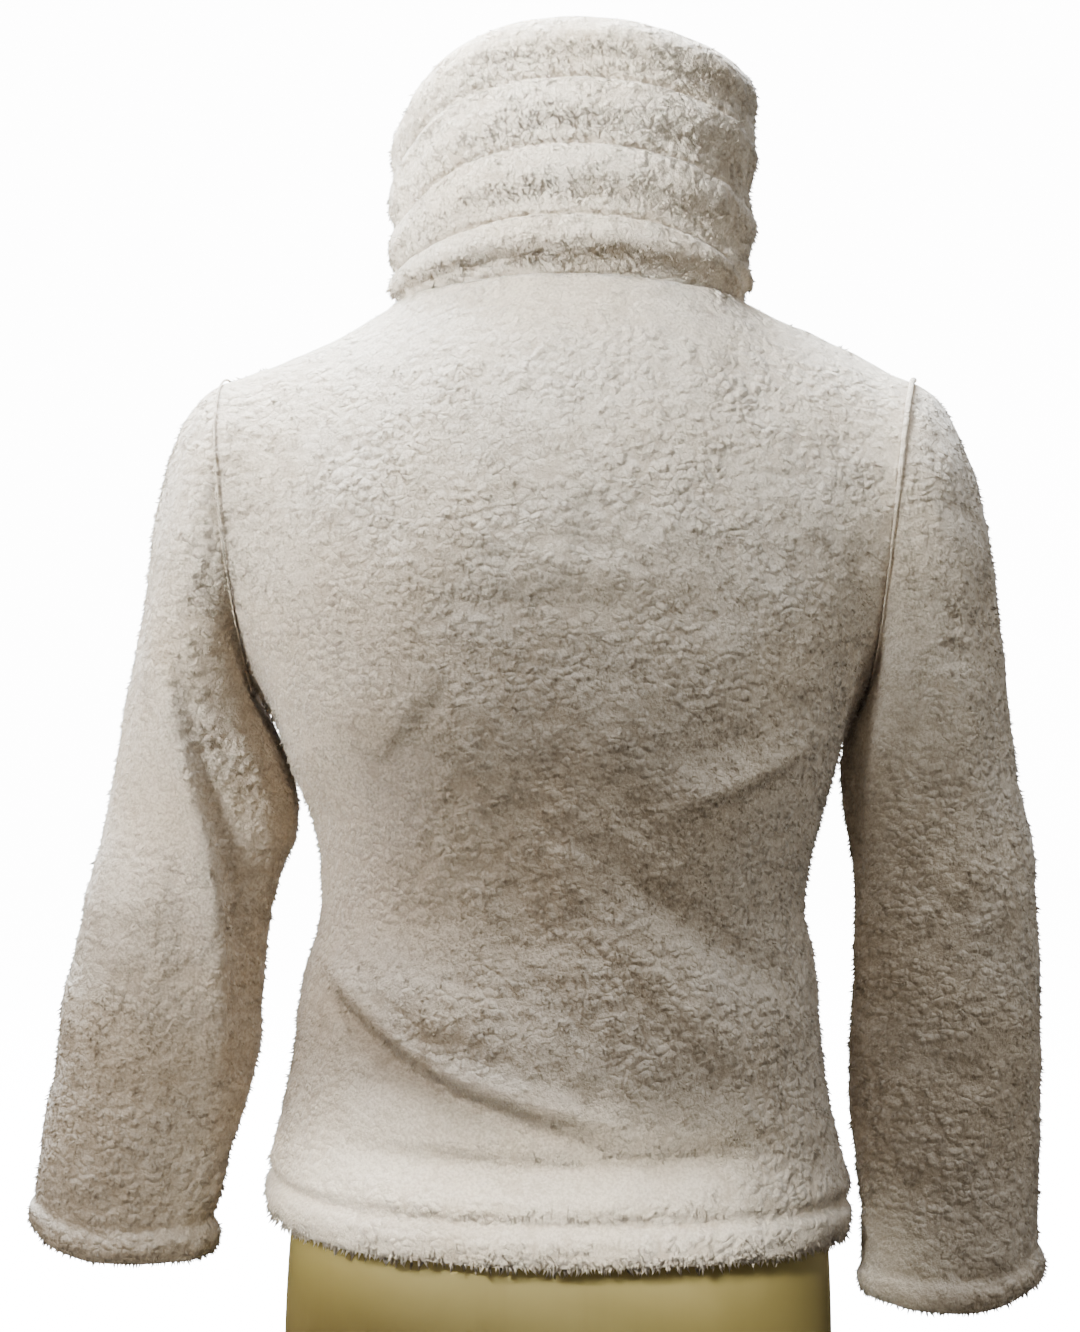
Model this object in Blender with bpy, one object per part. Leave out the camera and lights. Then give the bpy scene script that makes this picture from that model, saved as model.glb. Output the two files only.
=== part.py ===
"""Plush fleece jacket with a tall slouching collar, zipped up on a limbless dress form.

Metres, +Z up. The wearer's left is +X and the back is +Y. The origin is the middle of the form's flat base.
Every cloth piece is a wall between an outer and an inner grid of points. Neighbours read their shared seam from
one surface, and each stands back from it by half the seam gap.
"""

import math
from bisect import bisect_right
from collections import namedtuple

import bmesh
import bpy
from mathutils import Matrix, Vector

BACK = 1
FRONT = -1
LEFT = 1
RIGHT = -1

# Cloth
WALL = 0.0050  # plush fleece with its pile
SEAM_GAP = 0.0003
SQUARENESS = 0.10  # how much fuller than an ellipse the body's sections are
BODY_HEM = 0.027  # depth of the turned-up hem
CUFF_HEM = 0.021
HEM_ROLL = 0.0040  # how far a turned-up hem stands out
SLOPE_STEP = 0.01  # share of a panel over which slopes are measured

# Body
HEM_Z = 0.1300
HEM_RISE_LEFT = 0.003
HEM_DROP_RIGHT = 0.014
ARMPIT_Z = 0.441
ARMPIT_FLARE = 0.007  # the cloth turns out over this radius to meet the sleeve
BLADE = 0.006  # fullness over the shoulder blades and the chest

# Neckline and shoulders, measured from the middle of the neck
NECK_SHARE = 0.384  # part of a half panel's top that is neckline
NECK_HALF = 0.105
NECK_DEPTH = {BACK: 0.075, FRONT: 0.068}
NECK_SIDE_Z = 0.682
NECK_MIDDLE_Z = {BACK: 0.6865, FRONT: 0.630}
NECK_SCOOP = 2.5  # over 2 keeps the drop of the neckline to its middle
TIP_HALF = 0.2085
TIP_Z = 0.634
SHOULDER_SAG = {LEFT: 0.005, RIGHT: 0.0}
LEAN = -0.0072  # form and jacket lean this far towards the wearer's right, from the hem to the armpit
TOP_TURN = {BACK: math.radians(60), FRONT: math.radians(50)}  # how far a panel's middle has leaned at the neck
TOP_TURN_POWER = {BACK: 2, FRONT: 1}  # how much of that lean is kept to the middle
ARMHOLE_BOW = {LEFT: 0.010, RIGHT: -0.002}
ARMHOLE_SKEW = 0.75  # under 1 puts the armhole's widest place low

# Collar
COLLAR_WALL = 0.006
COLLAR_TURN = 0.15  # share of the height in which the wall turns upright from the neckline
COLLAR_SKEW = 2.0  # over 1 puts a roll's fullest place near its top
ROLL_SAG = 0.35  # how far a roll drops for each metre that it stands out
ROLL_ROWS = 5
FACING_POWER = 3.2  # how quickly its back and front values give way to those of its sides

# Zip
ZIP_HALF = 0.0090  # from the zip's middle to each front edge
ZIP_FADE = 0.030  # folds and rolls die out over this width beside the zip
TAPE_THICKNESS = 0.0016
CHAIN_HALF = 0.0028
CHAIN_THICKNESS = 0.0028
SLIDER_DROP = 0.016  # from the collar's rim to the slider's middle
SLIDER = {"width": 0.0090, "length": 0.0110, "plate": 0.0010, "post": 0.0022, "post_width": 0.0050}
ARCH = {"width": 0.0018, "half_length": 0.0034, "foot": 0.0010, "rise": 0.0030, "beam": 0.0009}
HINGE_RISE = 0.0016  # from the slider's front plate to the pull's hinge, under the arch
HINGE_DROP = 0.0015  # from the slider's middle down to the hinge
PULL = {"width": 0.0060, "length": 0.0300, "thickness": 0.0012, "neck": 0.0052, "neck_length": 0.0030}
PULL_EYE = {"width": 0.0030, "near": 0.0005, "far": 0.0062}

# Dress form
SEAT = 0.0006  # from the cloth to the form where the jacket rests on it
NECK_EASE = 0.0035  # further in at the neckline, where the cloth stands off
FORM_CAP = 0.90  # part of the jacket's shoulder that the form fills
FORM_CAP_DOME = 0.006
FORM_NECK_RADIUS = 0.057
FORM_NECK_BASE_Z = 0.704
FORM_NECK_TOP_Z = 0.738

BodyLevel = namedtuple("BodyLevel", "height left right back front")
Body = namedtuple("Body", "levels armhole_depth flare inset reach")
SleeveLevel = namedtuple("SleeveLevel", "height inner outer middle depth")
Round = namedtuple("Round", "back left right front")
Fold = namedtuple("Fold", "place x0 z0 x1 z1 x2 z2 depth width")

JACKET = Body(
    levels=[
        BodyLevel(0.116, 0.1735, 0.1735, 0.134, 0.130),
        BodyLevel(0.150, 0.1765, 0.1750, 0.134, 0.130),
        BodyLevel(0.189, 0.1710, 0.1670, 0.131, 0.127),
        BodyLevel(0.226, 0.1620, 0.1600, 0.126, 0.122),
        BodyLevel(0.262, 0.1590, 0.1580, 0.121, 0.117),
        BodyLevel(0.281, 0.1550, 0.1570, 0.117, 0.114),
        BodyLevel(0.299, 0.1480, 0.1520, 0.113, 0.112),
        BodyLevel(0.317, 0.1460, 0.1480, 0.110, 0.110),
        BodyLevel(0.336, 0.1460, 0.1525, 0.109, 0.111),
        BodyLevel(0.354, 0.1480, 0.1550, 0.110, 0.113),
        BodyLevel(0.372, 0.1520, 0.1610, 0.112, 0.117),
        BodyLevel(0.391, 0.1610, 0.1660, 0.114, 0.121),
        BodyLevel(0.412, 0.1685, 0.1720, 0.117, 0.124),
        BodyLevel(0.441, 0.1790, 0.1800, 0.120, 0.127),
    ],
    armhole_depth=0.065,
    flare=ARMPIT_FLARE,
    inset=0.0,
    reach=1.0,
)

FORM = Body(
    levels=[
        BodyLevel(0.000, 0.1700, 0.1675, 0.108, 0.104),
        BodyLevel(0.060, 0.1700, 0.1680, 0.111, 0.106),
        BodyLevel(0.130, 0.1655, 0.1650, 0.112, 0.106),
        BodyLevel(0.189, 0.1563, 0.1577, 0.110, 0.104),
        BodyLevel(0.226, 0.1474, 0.1496, 0.105, 0.101),
        BodyLevel(0.262, 0.1352, 0.1408, 0.097, 0.096),
        BodyLevel(0.299, 0.1219, 0.1301, 0.090, 0.092),
        BodyLevel(0.320, 0.1172, 0.1268, 0.088, 0.091),
        BodyLevel(0.354, 0.1197, 0.1313, 0.090, 0.096),
        BodyLevel(0.391, 0.1283, 0.1417, 0.096, 0.105),
        BodyLevel(0.441, 0.1428, 0.1572, 0.106, 0.115),
    ],
    armhole_depth=0.058,
    flare=0.0,
    inset=WALL + SEAT,
    reach=FORM_CAP,
)

# Each sleeve's edges towards and away from the body, the middle of its depth and half its depth
SLEEVES = {
    LEFT: [
        SleeveLevel(0.1030, 0.2100, 0.3230, -0.004, 0.037),
        SleeveLevel(0.1525, 0.2030, 0.3213, -0.004, 0.038),
        SleeveLevel(0.1890, 0.1915, 0.3150, -0.004, 0.038),
        SleeveLevel(0.2260, 0.1810, 0.3090, -0.004, 0.039),
        SleeveLevel(0.2620, 0.1785, 0.3040, -0.003, 0.040),
        SleeveLevel(0.3000, 0.1765, 0.2955, -0.003, 0.041),
        SleeveLevel(0.3300, 0.1700, 0.2890, -0.005, 0.043),
        SleeveLevel(0.3600, 0.1580, 0.2820, -0.010, 0.047),
        SleeveLevel(0.3850, 0.1600, 0.2765, -0.014, 0.051),
        SleeveLevel(0.4100, 0.1690, 0.2715, -0.012, 0.055),
    ],
    RIGHT: [
        SleeveLevel(0.0735, 0.1850, 0.2945, -0.004, 0.037),
        SleeveLevel(0.1160, 0.1830, 0.2945, -0.004, 0.038),
        SleeveLevel(0.1525, 0.1808, 0.2943, -0.004, 0.038),
        SleeveLevel(0.1890, 0.1750, 0.2955, -0.004, 0.039),
        SleeveLevel(0.2260, 0.1760, 0.2955, -0.004, 0.040),
        SleeveLevel(0.2620, 0.1765, 0.2943, -0.003, 0.041),
        SleeveLevel(0.3170, 0.1790, 0.2930, -0.003, 0.043),
        SleeveLevel(0.3540, 0.1775, 0.2906, -0.008, 0.046),
        SleeveLevel(0.3850, 0.1715, 0.2840, -0.014, 0.051),
        SleeveLevel(0.4100, 0.1725, 0.2795, -0.012, 0.055),
    ],
}
SLEEVE_START = {"armpit": 0.018, "tip": 0.165}  # how strongly the sleeve runs on from the armhole
SLEEVE_END = {"armpit": 0.035, "tip": 0.150}
SLEEVE_DIP = {"armpit": math.radians(20), "middle": math.radians(30), "tip": math.radians(7)}
SLEEVE_PUFF = 0.35
CUFF_RISE = {LEFT: {"outer": 0.016, "inner": -0.002}, RIGHT: {"outer": 0.014, "inner": 0.003}}
SLEEVE_GIRTH = 0.34  # turns a share of the way round into metres when folds are placed

# The collar, as it is at the back, at both sides and at the front
COLLAR_HEIGHT = Round(0.1405, 0.102, 0.131, 0.133)
COLLAR_LEAN = Round(0.024, 0.004, 0.006, 0.006)
COLLAR_ROLL = Round(0.0095, 0.0040, 0.0045, 0.0060)
# where its creases lie, as shares of its height
CREASES = [
    Round(0.000, 0.000, 0.000, 0.000),
    Round(0.208, 0.110, 0.120, 0.170),
    Round(0.484, 0.330, 0.403, 0.420),
    Round(0.735, 0.605, 0.745, 0.690),
    Round(1.000, 1.000, 1.000, 1.000),
]

# Soft folds, each on a path through three places, in metres across and up. Depth is positive for a ridge.
BODY_FOLDS = [
    Fold(BACK, 0.126, 0.283, 0.066, 0.232, -0.032, 0.199, -0.0090, 0.015),
    Fold(BACK, 0.126, 0.306, 0.060, 0.262, -0.020, 0.230, 0.0070, 0.016),
    Fold(BACK, 0.010, 0.375, -0.045, 0.335, -0.100, 0.281, 0.0085, 0.016),
    Fold(BACK, -0.050, 0.328, -0.086, 0.304, -0.135, 0.274, -0.0085, 0.013),
    Fold(BACK, -0.055, 0.377, -0.107, 0.398, -0.160, 0.430, 0.0070, 0.013),
    Fold(BACK, -0.070, 0.402, -0.110, 0.418, -0.150, 0.443, -0.0050, 0.010),
    Fold(BACK, 0.144, 0.512, 0.000, 0.517, -0.144, 0.512, 0.0040, 0.018),
    Fold(BACK, 0.144, 0.482, 0.000, 0.486, -0.144, 0.480, -0.0030, 0.016),
    Fold(BACK, 0.120, 0.198, 0.020, 0.178, -0.125, 0.186, -0.0055, 0.012),
    Fold(BACK, 0.075, 0.445, 0.120, 0.420, 0.160, 0.385, 0.0055, 0.016),
    Fold(BACK, 0.070, 0.420, 0.112, 0.396, 0.150, 0.362, -0.0035, 0.012),
    Fold(FRONT, 0.125, 0.300, 0.080, 0.262, 0.030, 0.245, -0.0085, 0.015),
    Fold(FRONT, 0.125, 0.326, 0.080, 0.290, 0.034, 0.272, 0.0070, 0.015),
    Fold(FRONT, -0.125, 0.330, -0.085, 0.280, -0.032, 0.238, -0.0080, 0.015),
    Fold(FRONT, -0.125, 0.357, -0.085, 0.308, -0.036, 0.266, 0.0070, 0.015),
    Fold(FRONT, 0.060, 0.455, 0.105, 0.430, 0.155, 0.405, 0.0055, 0.013),
    Fold(FRONT, -0.055, 0.440, -0.105, 0.425, -0.155, 0.405, 0.0060, 0.014),
    Fold(FRONT, 0.110, 0.196, 0.070, 0.186, 0.035, 0.184, -0.0055, 0.012),
    Fold(FRONT, -0.120, 0.206, -0.075, 0.190, -0.035, 0.186, -0.0055, 0.013),
]

# On a sleeve the first place of each pair is metres round it: 0 faces the body, 0.085 the back, 0.17 outwards
SLEEVE_FOLDS = [
    Fold(LEFT, 0.130, 0.510, 0.170, 0.500, 0.210, 0.510, -0.0100, 0.034),
    Fold(LEFT, 0.112, 0.457, 0.085, 0.360, 0.046, 0.180, 0.0070, 0.018),
    Fold(LEFT, 0.060, 0.420, 0.052, 0.340, 0.020, 0.240, -0.0050, 0.014),
    Fold(LEFT, 0.090, 0.300, 0.120, 0.285, 0.160, 0.292, -0.0045, 0.012),
    Fold(LEFT, 0.250, 0.330, 0.285, 0.300, 0.320, 0.290, -0.0050, 0.012),
    Fold(LEFT, 0.240, 0.420, 0.260, 0.300, 0.280, 0.190, 0.0055, 0.018),
    Fold(RIGHT, 0.050, 0.460, 0.056, 0.400, 0.040, 0.340, 0.0060, 0.014),
    Fold(RIGHT, 0.100, 0.440, 0.112, 0.330, 0.105, 0.190, 0.0045, 0.018),
    Fold(RIGHT, 0.075, 0.305, 0.110, 0.292, 0.155, 0.300, -0.0045, 0.012),
    Fold(RIGHT, 0.240, 0.300, 0.275, 0.285, 0.315, 0.300, -0.0050, 0.012),
    Fold(RIGHT, 0.245, 0.420, 0.262, 0.320, 0.255, 0.180, 0.0055, 0.018),
]

# Grid sizes
NECK_COLUMNS = 8
SHOULDER_COLUMNS = 6
HEM_ROWS = (0.0, 0.006, 0.013, 0.020, 0.027, 0.034)
BODY_ROWS = 16
UPPER_ROWS = 12
SLEEVE_BLEND = (0.0, 0.10, 0.24, 0.42, 0.62, 0.81)
SLEEVE_ROWS = 11
ZIP_ROW_STEP = 2
FORM_LOWER_ROWS = 10
FORM_UPPER_ROWS = 8
FORM_NECK_ROWS = (0.3, 0.6, 0.85, 1.0)

MATERIALS = {
    "fleece": ((0.78, 0.74, 0.68), 0.95, 0.0),
    "form": ((0.55, 0.44, 0.25), 0.60, 0.0),
    "tape": ((0.80, 0.77, 0.71), 0.85, 0.0),
    "teeth": ((0.84, 0.82, 0.77), 0.40, 0.0),
    "metal": ((0.62, 0.61, 0.58), 0.30, 1.0),
}


def smooth_value(table, field, position, key="height"):
    """One column of a table at any position, on a smooth curve through its rows."""
    keys = [getattr(row, key) for row in table]
    values = [getattr(row, field) for row in table]
    if position <= keys[0]:
        return values[0]
    if position >= keys[-1]:
        return values[-1]
    low = bisect_right(keys, position) - 1
    high = low + 1
    span = keys[high] - keys[low]

    def slope(index):
        before = max(index - 1, 0)
        after = min(index + 1, len(keys) - 1)
        return (values[after] - values[before]) / (keys[after] - keys[before]) * span

    return hermite((position - keys[low]) / span, values[low], slope(low), values[high], slope(high))


def hermite(t, start, leave, end, arrive):
    """A cubic from start to end with the given slopes, for numbers or vectors."""
    square = t * t
    cube = square * t
    return (
        start * (2 * cube - 3 * square + 1)
        + leave * (cube - 2 * square + t)
        + end * (3 * square - 2 * cube)
        + arrive * (cube - square)
    )


def mix(low, high, share):
    return low + (high - low) * share


def ease(value):
    """0 below 0, 1 above 1, and smooth between."""
    value = min(max(value, 0.0), 1.0)
    return value * value * (3 - 2 * value)


# ---------------------------------------------------------------- the torso's surface


def hem_height(body, u):
    if body is FORM:
        return FORM.levels[0].height
    return HEM_Z + HEM_RISE_LEFT * max(u, 0.0) - HEM_DROP_RIGHT * max(-u, 0.0) ** 2


def body_ring(body, u, height, side):
    """A place on the level section at a height. u runs from -1 at the right side seam to 1 at the left."""
    middle = LEAN * ease((height - HEM_Z) / (ARMPIT_Z - HEM_Z))
    edge = smooth_value(body.levels, "left" if u > 0 else "right", height)
    depth = smooth_value(body.levels, "back" if side == BACK else "front", height)
    angle = u * math.pi / 2
    x = middle + (edge - middle * math.copysign(1, u)) * math.sin(angle)
    y = side * depth * math.cos(angle) * (1 + SQUARENESS * math.sin(angle) ** 2)
    below = ARMPIT_Z - height
    if 0 <= below < body.flare:
        turned = (body.flare - below) / body.flare
        x += math.copysign(body.flare * (1 - math.sqrt(1 - turned**2)) * abs(u) ** 10, u)
    return Vector((x, y, height))


def neck_angle(u):
    """How far round a quarter of the neckline a column of the panel ends."""
    return min(abs(u) / NECK_SHARE, 1.0) * math.pi / 2


def jacket_top_edge(u, side):
    """The neckline and the shoulder seam."""
    angle = neck_angle(u)
    along = max(abs(u) - NECK_SHARE, 0.0) / (1 - NECK_SHARE)
    x = NECK_HALF * math.sin(angle) + (TIP_HALF - NECK_HALF) * along
    y = side * NECK_DEPTH[side] * math.cos(angle)
    z = mix(NECK_SIDE_Z, NECK_MIDDLE_Z[side], math.cos(angle) ** NECK_SCOOP) + (TIP_Z - NECK_SIDE_Z) * along
    z -= SHOULDER_SAG[LEFT if u > 0 else RIGHT] * math.sin(math.pi * along)
    return Vector((math.copysign(x, u) + LEAN, y, z))


def shoulder_normal(u):
    slope = Vector((NECK_SIDE_Z - TIP_Z, 0, TIP_HALF - NECK_HALF)).normalized()
    return Vector((math.copysign(slope.x, u), 0, slope.z))


def top_normal(u, side):
    if abs(u) >= NECK_SHARE:
        return shoulder_normal(u)
    return measured_normal(u, 1.0, side)


def top_edge(body, u, side):
    if body is JACKET:
        return jacket_top_edge(u, side)
    beyond = max(abs(u) - NECK_SHARE, 0.0) * body.reach
    u = math.copysign(min(abs(u), NECK_SHARE) + beyond, u)
    inset = body.inset + NECK_EASE * (1 - ease(beyond / 0.25))
    return jacket_top_edge(u, side) - top_normal(u, side) * inset


def torso_point(body, u, level, side):
    """A place on the torso. level is -1 at the hem, 0 at the armpit and 1 at the neckline and shoulder seam."""
    if level <= 0:
        hem = hem_height(body, u)
        return body_ring(body, u, mix(hem, ARMPIT_Z, level + 1), side)
    start = body_ring(body, u, ARMPIT_Z, side)
    top = top_edge(body, u, side)
    turn = mix(math.pi / 2, TOP_TURN[side], math.cos(neck_angle(u)) ** TOP_TURN_POWER[side])
    rise = math.sin(turn * level) / math.sin(turn)
    run = (math.cos(turn * level) - math.cos(turn)) / (1 - math.cos(turn))
    point = Vector((mix(top.x, start.x, run), mix(top.y, start.y, run), mix(start.z, top.z, rise)))
    height_wave = math.sin(math.pi * level)
    armhole = max(math.sin(math.pi * level**ARMHOLE_SKEW), 0.0) ** 0.9
    point.y += side * body.armhole_depth * abs(u) ** 3 * armhole
    point.y += side * BLADE * height_wave * math.cos(u * math.pi / 2)
    point.x += math.copysign(ARMHOLE_BOW[LEFT if u > 0 else RIGHT] * abs(u) ** 4 * height_wave, u)
    return point


def measured_normal(u, level, side):
    """The jacket's outward normal, from its slopes across and up."""
    left = torso_point(JACKET, min(u + SLOPE_STEP, 1), level, side)
    right = torso_point(JACKET, max(u - SLOPE_STEP, -1), level, side)
    above = torso_point(JACKET, u, min(level + SLOPE_STEP, 1), side)
    below = torso_point(JACKET, u, level - SLOPE_STEP, side)
    return (above - below).cross(left - right).normalized() * side


def jacket_normal(u, level, side):
    """The outward normal, the same for both pieces wherever two of them meet."""
    if level >= 1:
        return top_normal(u, side)
    if abs(u) < 1:
        return measured_normal(u, level, side)
    if level == 0:
        return Vector((0, 0, -1))
    if level < 0:
        slope = torso_point(JACKET, u, min(level + SLOPE_STEP, 0), side)
        slope -= torso_point(JACKET, u, level - SLOPE_STEP, side)
        return Vector((u * slope.z, 0, -u * slope.x)).normalized()
    slope = torso_point(JACKET, u, min(level + SLOPE_STEP, 1), side)
    slope -= torso_point(JACKET, u, max(level - SLOPE_STEP, 0), side)
    return Vector((0, side * slope.z, -side * slope.y)).normalized()


def fold_depth(folds, place, x, z):
    """How far the soft folds near a place move the cloth in or out."""
    samples = 16
    total = 0.0
    for fold in folds:
        if fold.place != place:
            continue
        best = None
        for index in range(samples + 1):
            t = index / samples
            # a curve that passes through the middle place half-way
            path_x = (1 - t) * (1 - 2 * t) * fold.x0 + 4 * t * (1 - t) * fold.x1 + t * (2 * t - 1) * fold.x2
            path_z = (1 - t) * (1 - 2 * t) * fold.z0 + 4 * t * (1 - t) * fold.z1 + t * (2 * t - 1) * fold.z2
            distance = math.hypot(x - path_x, z - path_z)
            if best is None or distance < best[0]:
                best = (distance, t)
        distance, t = best
        total += fold.depth * math.exp(-((distance / fold.width) ** 2)) * math.sin(math.pi * t) ** 0.6
    return total


def hem_roll(above_edge, hem_depth):
    """A turned-up hem stands out and its stitched line draws in."""
    if above_edge < hem_depth:
        return HEM_ROLL * math.sin(math.pi * max(above_edge, 0.0) / hem_depth) ** 0.7
    return -0.0012 * math.exp(-(((above_edge - hem_depth) / 0.006) ** 2))


# ---------------------------------------------------------------- walls and meshes


def new_object(name, mesh, material):
    colour, roughness, metallic = MATERIALS[material]
    finish = bpy.data.materials.get(material)
    if finish is None:
        finish = bpy.data.materials.new(material)
        finish.use_nodes = True
        shader = finish.node_tree.nodes["Principled BSDF"]
        shader.inputs["Base Color"].default_value = (*colour, 1)
        shader.inputs["Roughness"].default_value = roughness
        shader.inputs["Metallic"].default_value = metallic
    mesh.materials.append(finish)
    piece = bpy.data.objects.new(name, mesh)
    bpy.context.scene.collection.objects.link(piece)
    return piece


def finish_mesh(name, form, material):
    """Turn the faces outwards, shade round places smooth and make the object."""
    bmesh.ops.recalc_face_normals(form, faces=form.faces)
    if form.calc_volume(signed=True) < 0:
        bmesh.ops.reverse_faces(form, faces=form.faces)
    mesh = bpy.data.meshes.new(name)
    form.to_mesh(mesh)
    form.free()
    mesh.shade_smooth()
    mesh.set_sharp_from_angle(angle=math.radians(50))
    return new_object(name, mesh, material)


def draw_back(grid, first_row=False, last_row=False, first_column=False, last_column=False):
    """Move a grid's sewn edges in along the cloth, by half the seam gap."""

    def moved(point, towards):
        return point + (towards - point).normalized() * (SEAM_GAP / 2)

    if first_row:
        grid[0] = [moved(a, b) for a, b in zip(grid[0], grid[1])]
    if last_row:
        grid[-1] = [moved(a, b) for a, b in zip(grid[-1], grid[-2])]
    for row in grid:
        if first_column:
            row[0] = moved(row[0], row[1])
        if last_column:
            row[-1] = moved(row[-1], row[-2])


def wall(name, outer, inner, material, around=False):
    """A closed wall between two grids of points. around joins each row's last point to its first."""
    form = bmesh.new()
    outside = [[form.verts.new(point) for point in row] for row in outer]
    inside = [[form.verts.new(point) for point in row] for row in inner]
    rows = len(outer)
    columns = len(outer[0])
    steps = columns if around else columns - 1

    def quads(grid):
        for row in range(rows - 1):
            for column in range(steps):
                after = (column + 1) % columns
                form.faces.new((grid[row][column], grid[row][after], grid[row + 1][after], grid[row + 1][column]))

    def edge_face(start, end):
        outer_side = [outside[row][column] for row, column in (start, end)]
        inner_side = [inside[row][column] for row, column in (end, start)]
        return form.faces.new(outer_side + inner_side)

    quads(outside)
    quads(inside)
    edges = [edge_face((row, c), (row, (c + 1) % columns)) for row in (0, rows - 1) for c in range(steps)]
    if not around:
        edges += [edge_face((r, column), (r + 1, column)) for column in (0, columns - 1) for r in range(rows - 1)]
    # both sides of a seam are cut the same way, so that their twisted faces can't cross
    bmesh.ops.triangulate(form, faces=edges, quad_method="SHORT_EDGE")
    return finish_mesh(name, form, material)


# ---------------------------------------------------------------- fronts and back


def half_columns():
    """The columns from the middle to a side seam: first the neckline, then the shoulder."""
    neck = [NECK_SHARE * index / NECK_COLUMNS for index in range(NECK_COLUMNS)]
    step = (1 - NECK_SHARE) / SHOULDER_COLUMNS
    return neck + [NECK_SHARE + step * index for index in range(SHOULDER_COLUMNS)] + [1.0]


def upper_levels():
    return [index / UPPER_ROWS for index in range(UPPER_ROWS + 1)]


def row_levels(u):
    """The levels of a column's rows, with the hem's rows at their own heights."""
    length = ARMPIT_Z - hem_height(JACKET, u)
    hem = [height / length - 1 for height in HEM_ROWS]
    top_of_hem = hem[-1]
    body = [mix(top_of_hem, 0.0, index / BODY_ROWS) for index in range(1, BODY_ROWS)]
    return hem + body + upper_levels()


def column_at_edge(level, hand):
    """The column of a front panel that runs beside the zip at this level."""
    middle = torso_point(JACKET, 0.0, level, FRONT).x
    low, high = 0.0, 0.2
    for _ in range(30):
        centre = (low + high) / 2
        if abs(torso_point(JACKET, hand * centre, level, FRONT).x - middle) < ZIP_HALF:
            low = centre
        else:
            high = centre
    return hand * high


def panel_point(u, level, side):
    """The outer and inner points of a body panel."""
    point = torso_point(JACKET, u, level, side)
    normal = jacket_normal(u, level, side)
    free = ease((1 - abs(u)) / 0.15) * ease((1 - level) / 0.15)
    edge = 1.0
    if side == FRONT:
        middle = torso_point(JACKET, 0.0, level, FRONT).x
        edge = ease((abs(point.x - middle) - ZIP_HALF) / ZIP_FADE)
    fold = fold_depth(BODY_FOLDS, side, point.x, point.z) * free * edge
    above_hem = (level + 1) * (ARMPIT_Z - hem_height(JACKET, u))
    roll = hem_roll(above_hem, BODY_HEM) * edge
    return point + normal * (fold + roll), point + normal * (fold - WALL)


def panel_grids(columns_of_row, side, rows):
    outer = []
    inner = []
    for row in range(rows):
        pairs = [panel_point(u, row_levels(u)[row], side) for u in columns_of_row(row)]
        outer.append([pair[0] for pair in pairs])
        inner.append([pair[1] for pair in pairs])
    return outer, inner


def build_back():
    half = half_columns()
    columns = [-u for u in reversed(half[1:])] + half
    outer, inner = panel_grids(lambda row: columns, BACK, len(row_levels(0.0)))
    for grid in (outer, inner):
        draw_back(grid, last_row=True, first_column=True, last_column=True)
    wall("back", outer, inner, "fleece")


def front_columns(row, hand):
    first = column_at_edge(row_levels(0.0)[row], hand)
    return [first] + [hand * u for u in half_columns()[1:]]


def build_front(name, hand):
    outer, inner = panel_grids(lambda row: front_columns(row, hand), FRONT, len(row_levels(0.0)))
    for grid in (outer, inner):
        draw_back(grid, last_row=True, last_column=True)
    wall(name, outer, inner, "fleece")
    return outer, inner


# ---------------------------------------------------------------- sleeves


def armhole(hand):
    """The armhole's points and normals, from the armpit up the back and down the front."""
    levels = upper_levels()
    places = [(level, BACK) for level in levels] + [(level, FRONT) for level in reversed(levels[1:-1])]
    points = [torso_point(JACKET, hand, level, side) for level, side in places]
    normals = [jacket_normal(hand, level, side) for level, side in places]
    return points, normals


def sleeve_angle(index):
    """0 faces the body, a quarter turn is the back and a half turn is outwards."""
    return math.pi * index / UPPER_ROWS


def cuff_lift(hand, angle):
    """The cuff's edge rises to both sides."""
    side = math.cos(angle)
    rise = CUFF_RISE[hand]["inner"] if side > 0 else CUFF_RISE[hand]["outer"]
    return rise * side**2


def sleeve_ring_point(hand, height, angle):
    table = SLEEVES[hand]
    inner = smooth_value(table, "inner", height)
    outer = smooth_value(table, "outer", height)
    x = (inner + outer) / 2 - (outer - inner) / 2 * math.cos(angle)
    y = smooth_value(table, "middle", height) + smooth_value(table, "depth", height) * math.sin(angle)
    return Vector((hand * x, y, height))


def sleeve_height(hand, share, angle):
    """A height on the free part of the sleeve, from 0 at its top to 1 at the cuff's edge."""
    top = SLEEVES[hand][-1].height
    return mix(top, SLEEVES[hand][0].height + cuff_lift(hand, angle), share)


def sleeve_shares(hand):
    """Where the free part's rows lie. The last ones follow the turned-up cuff."""
    length = SLEEVES[hand][-1].height - SLEEVES[hand][0].height
    crease = 1 - CUFF_HEM / length
    plain = [crease * index / SLEEVE_ROWS for index in range(SLEEVE_ROWS)]
    above = crease - 0.006 / length
    hem = [mix(crease, 1, part) for part in (0.0, 0.3, 0.7, 1.0)]
    return [share for share in plain if share < above - 0.01] + [above] + hem


def sleeve_curve(hand, start, angle, t):
    """A place on the sleeve head, between the armhole and the free part's first ring."""
    tip = (1 - math.cos(angle)) / 2
    dip = mix(SLEEVE_DIP["armpit"], SLEEVE_DIP["tip"], tip) + SLEEVE_DIP["middle"] * abs(math.sin(angle))
    leave = Vector((hand * math.cos(dip), SLEEVE_PUFF * math.sin(angle), -math.sin(dip)))
    leave *= mix(SLEEVE_START["armpit"], SLEEVE_START["tip"], tip**0.8)
    end = sleeve_ring_point(hand, sleeve_height(hand, 0.0, angle), angle)
    arrive = (sleeve_ring_point(hand, sleeve_height(hand, 0.05, angle), angle) - end).normalized()
    arrive *= mix(SLEEVE_END["armpit"], SLEEVE_END["tip"], tip**0.8)
    return hermite(t, start, leave, end, arrive)


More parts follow.
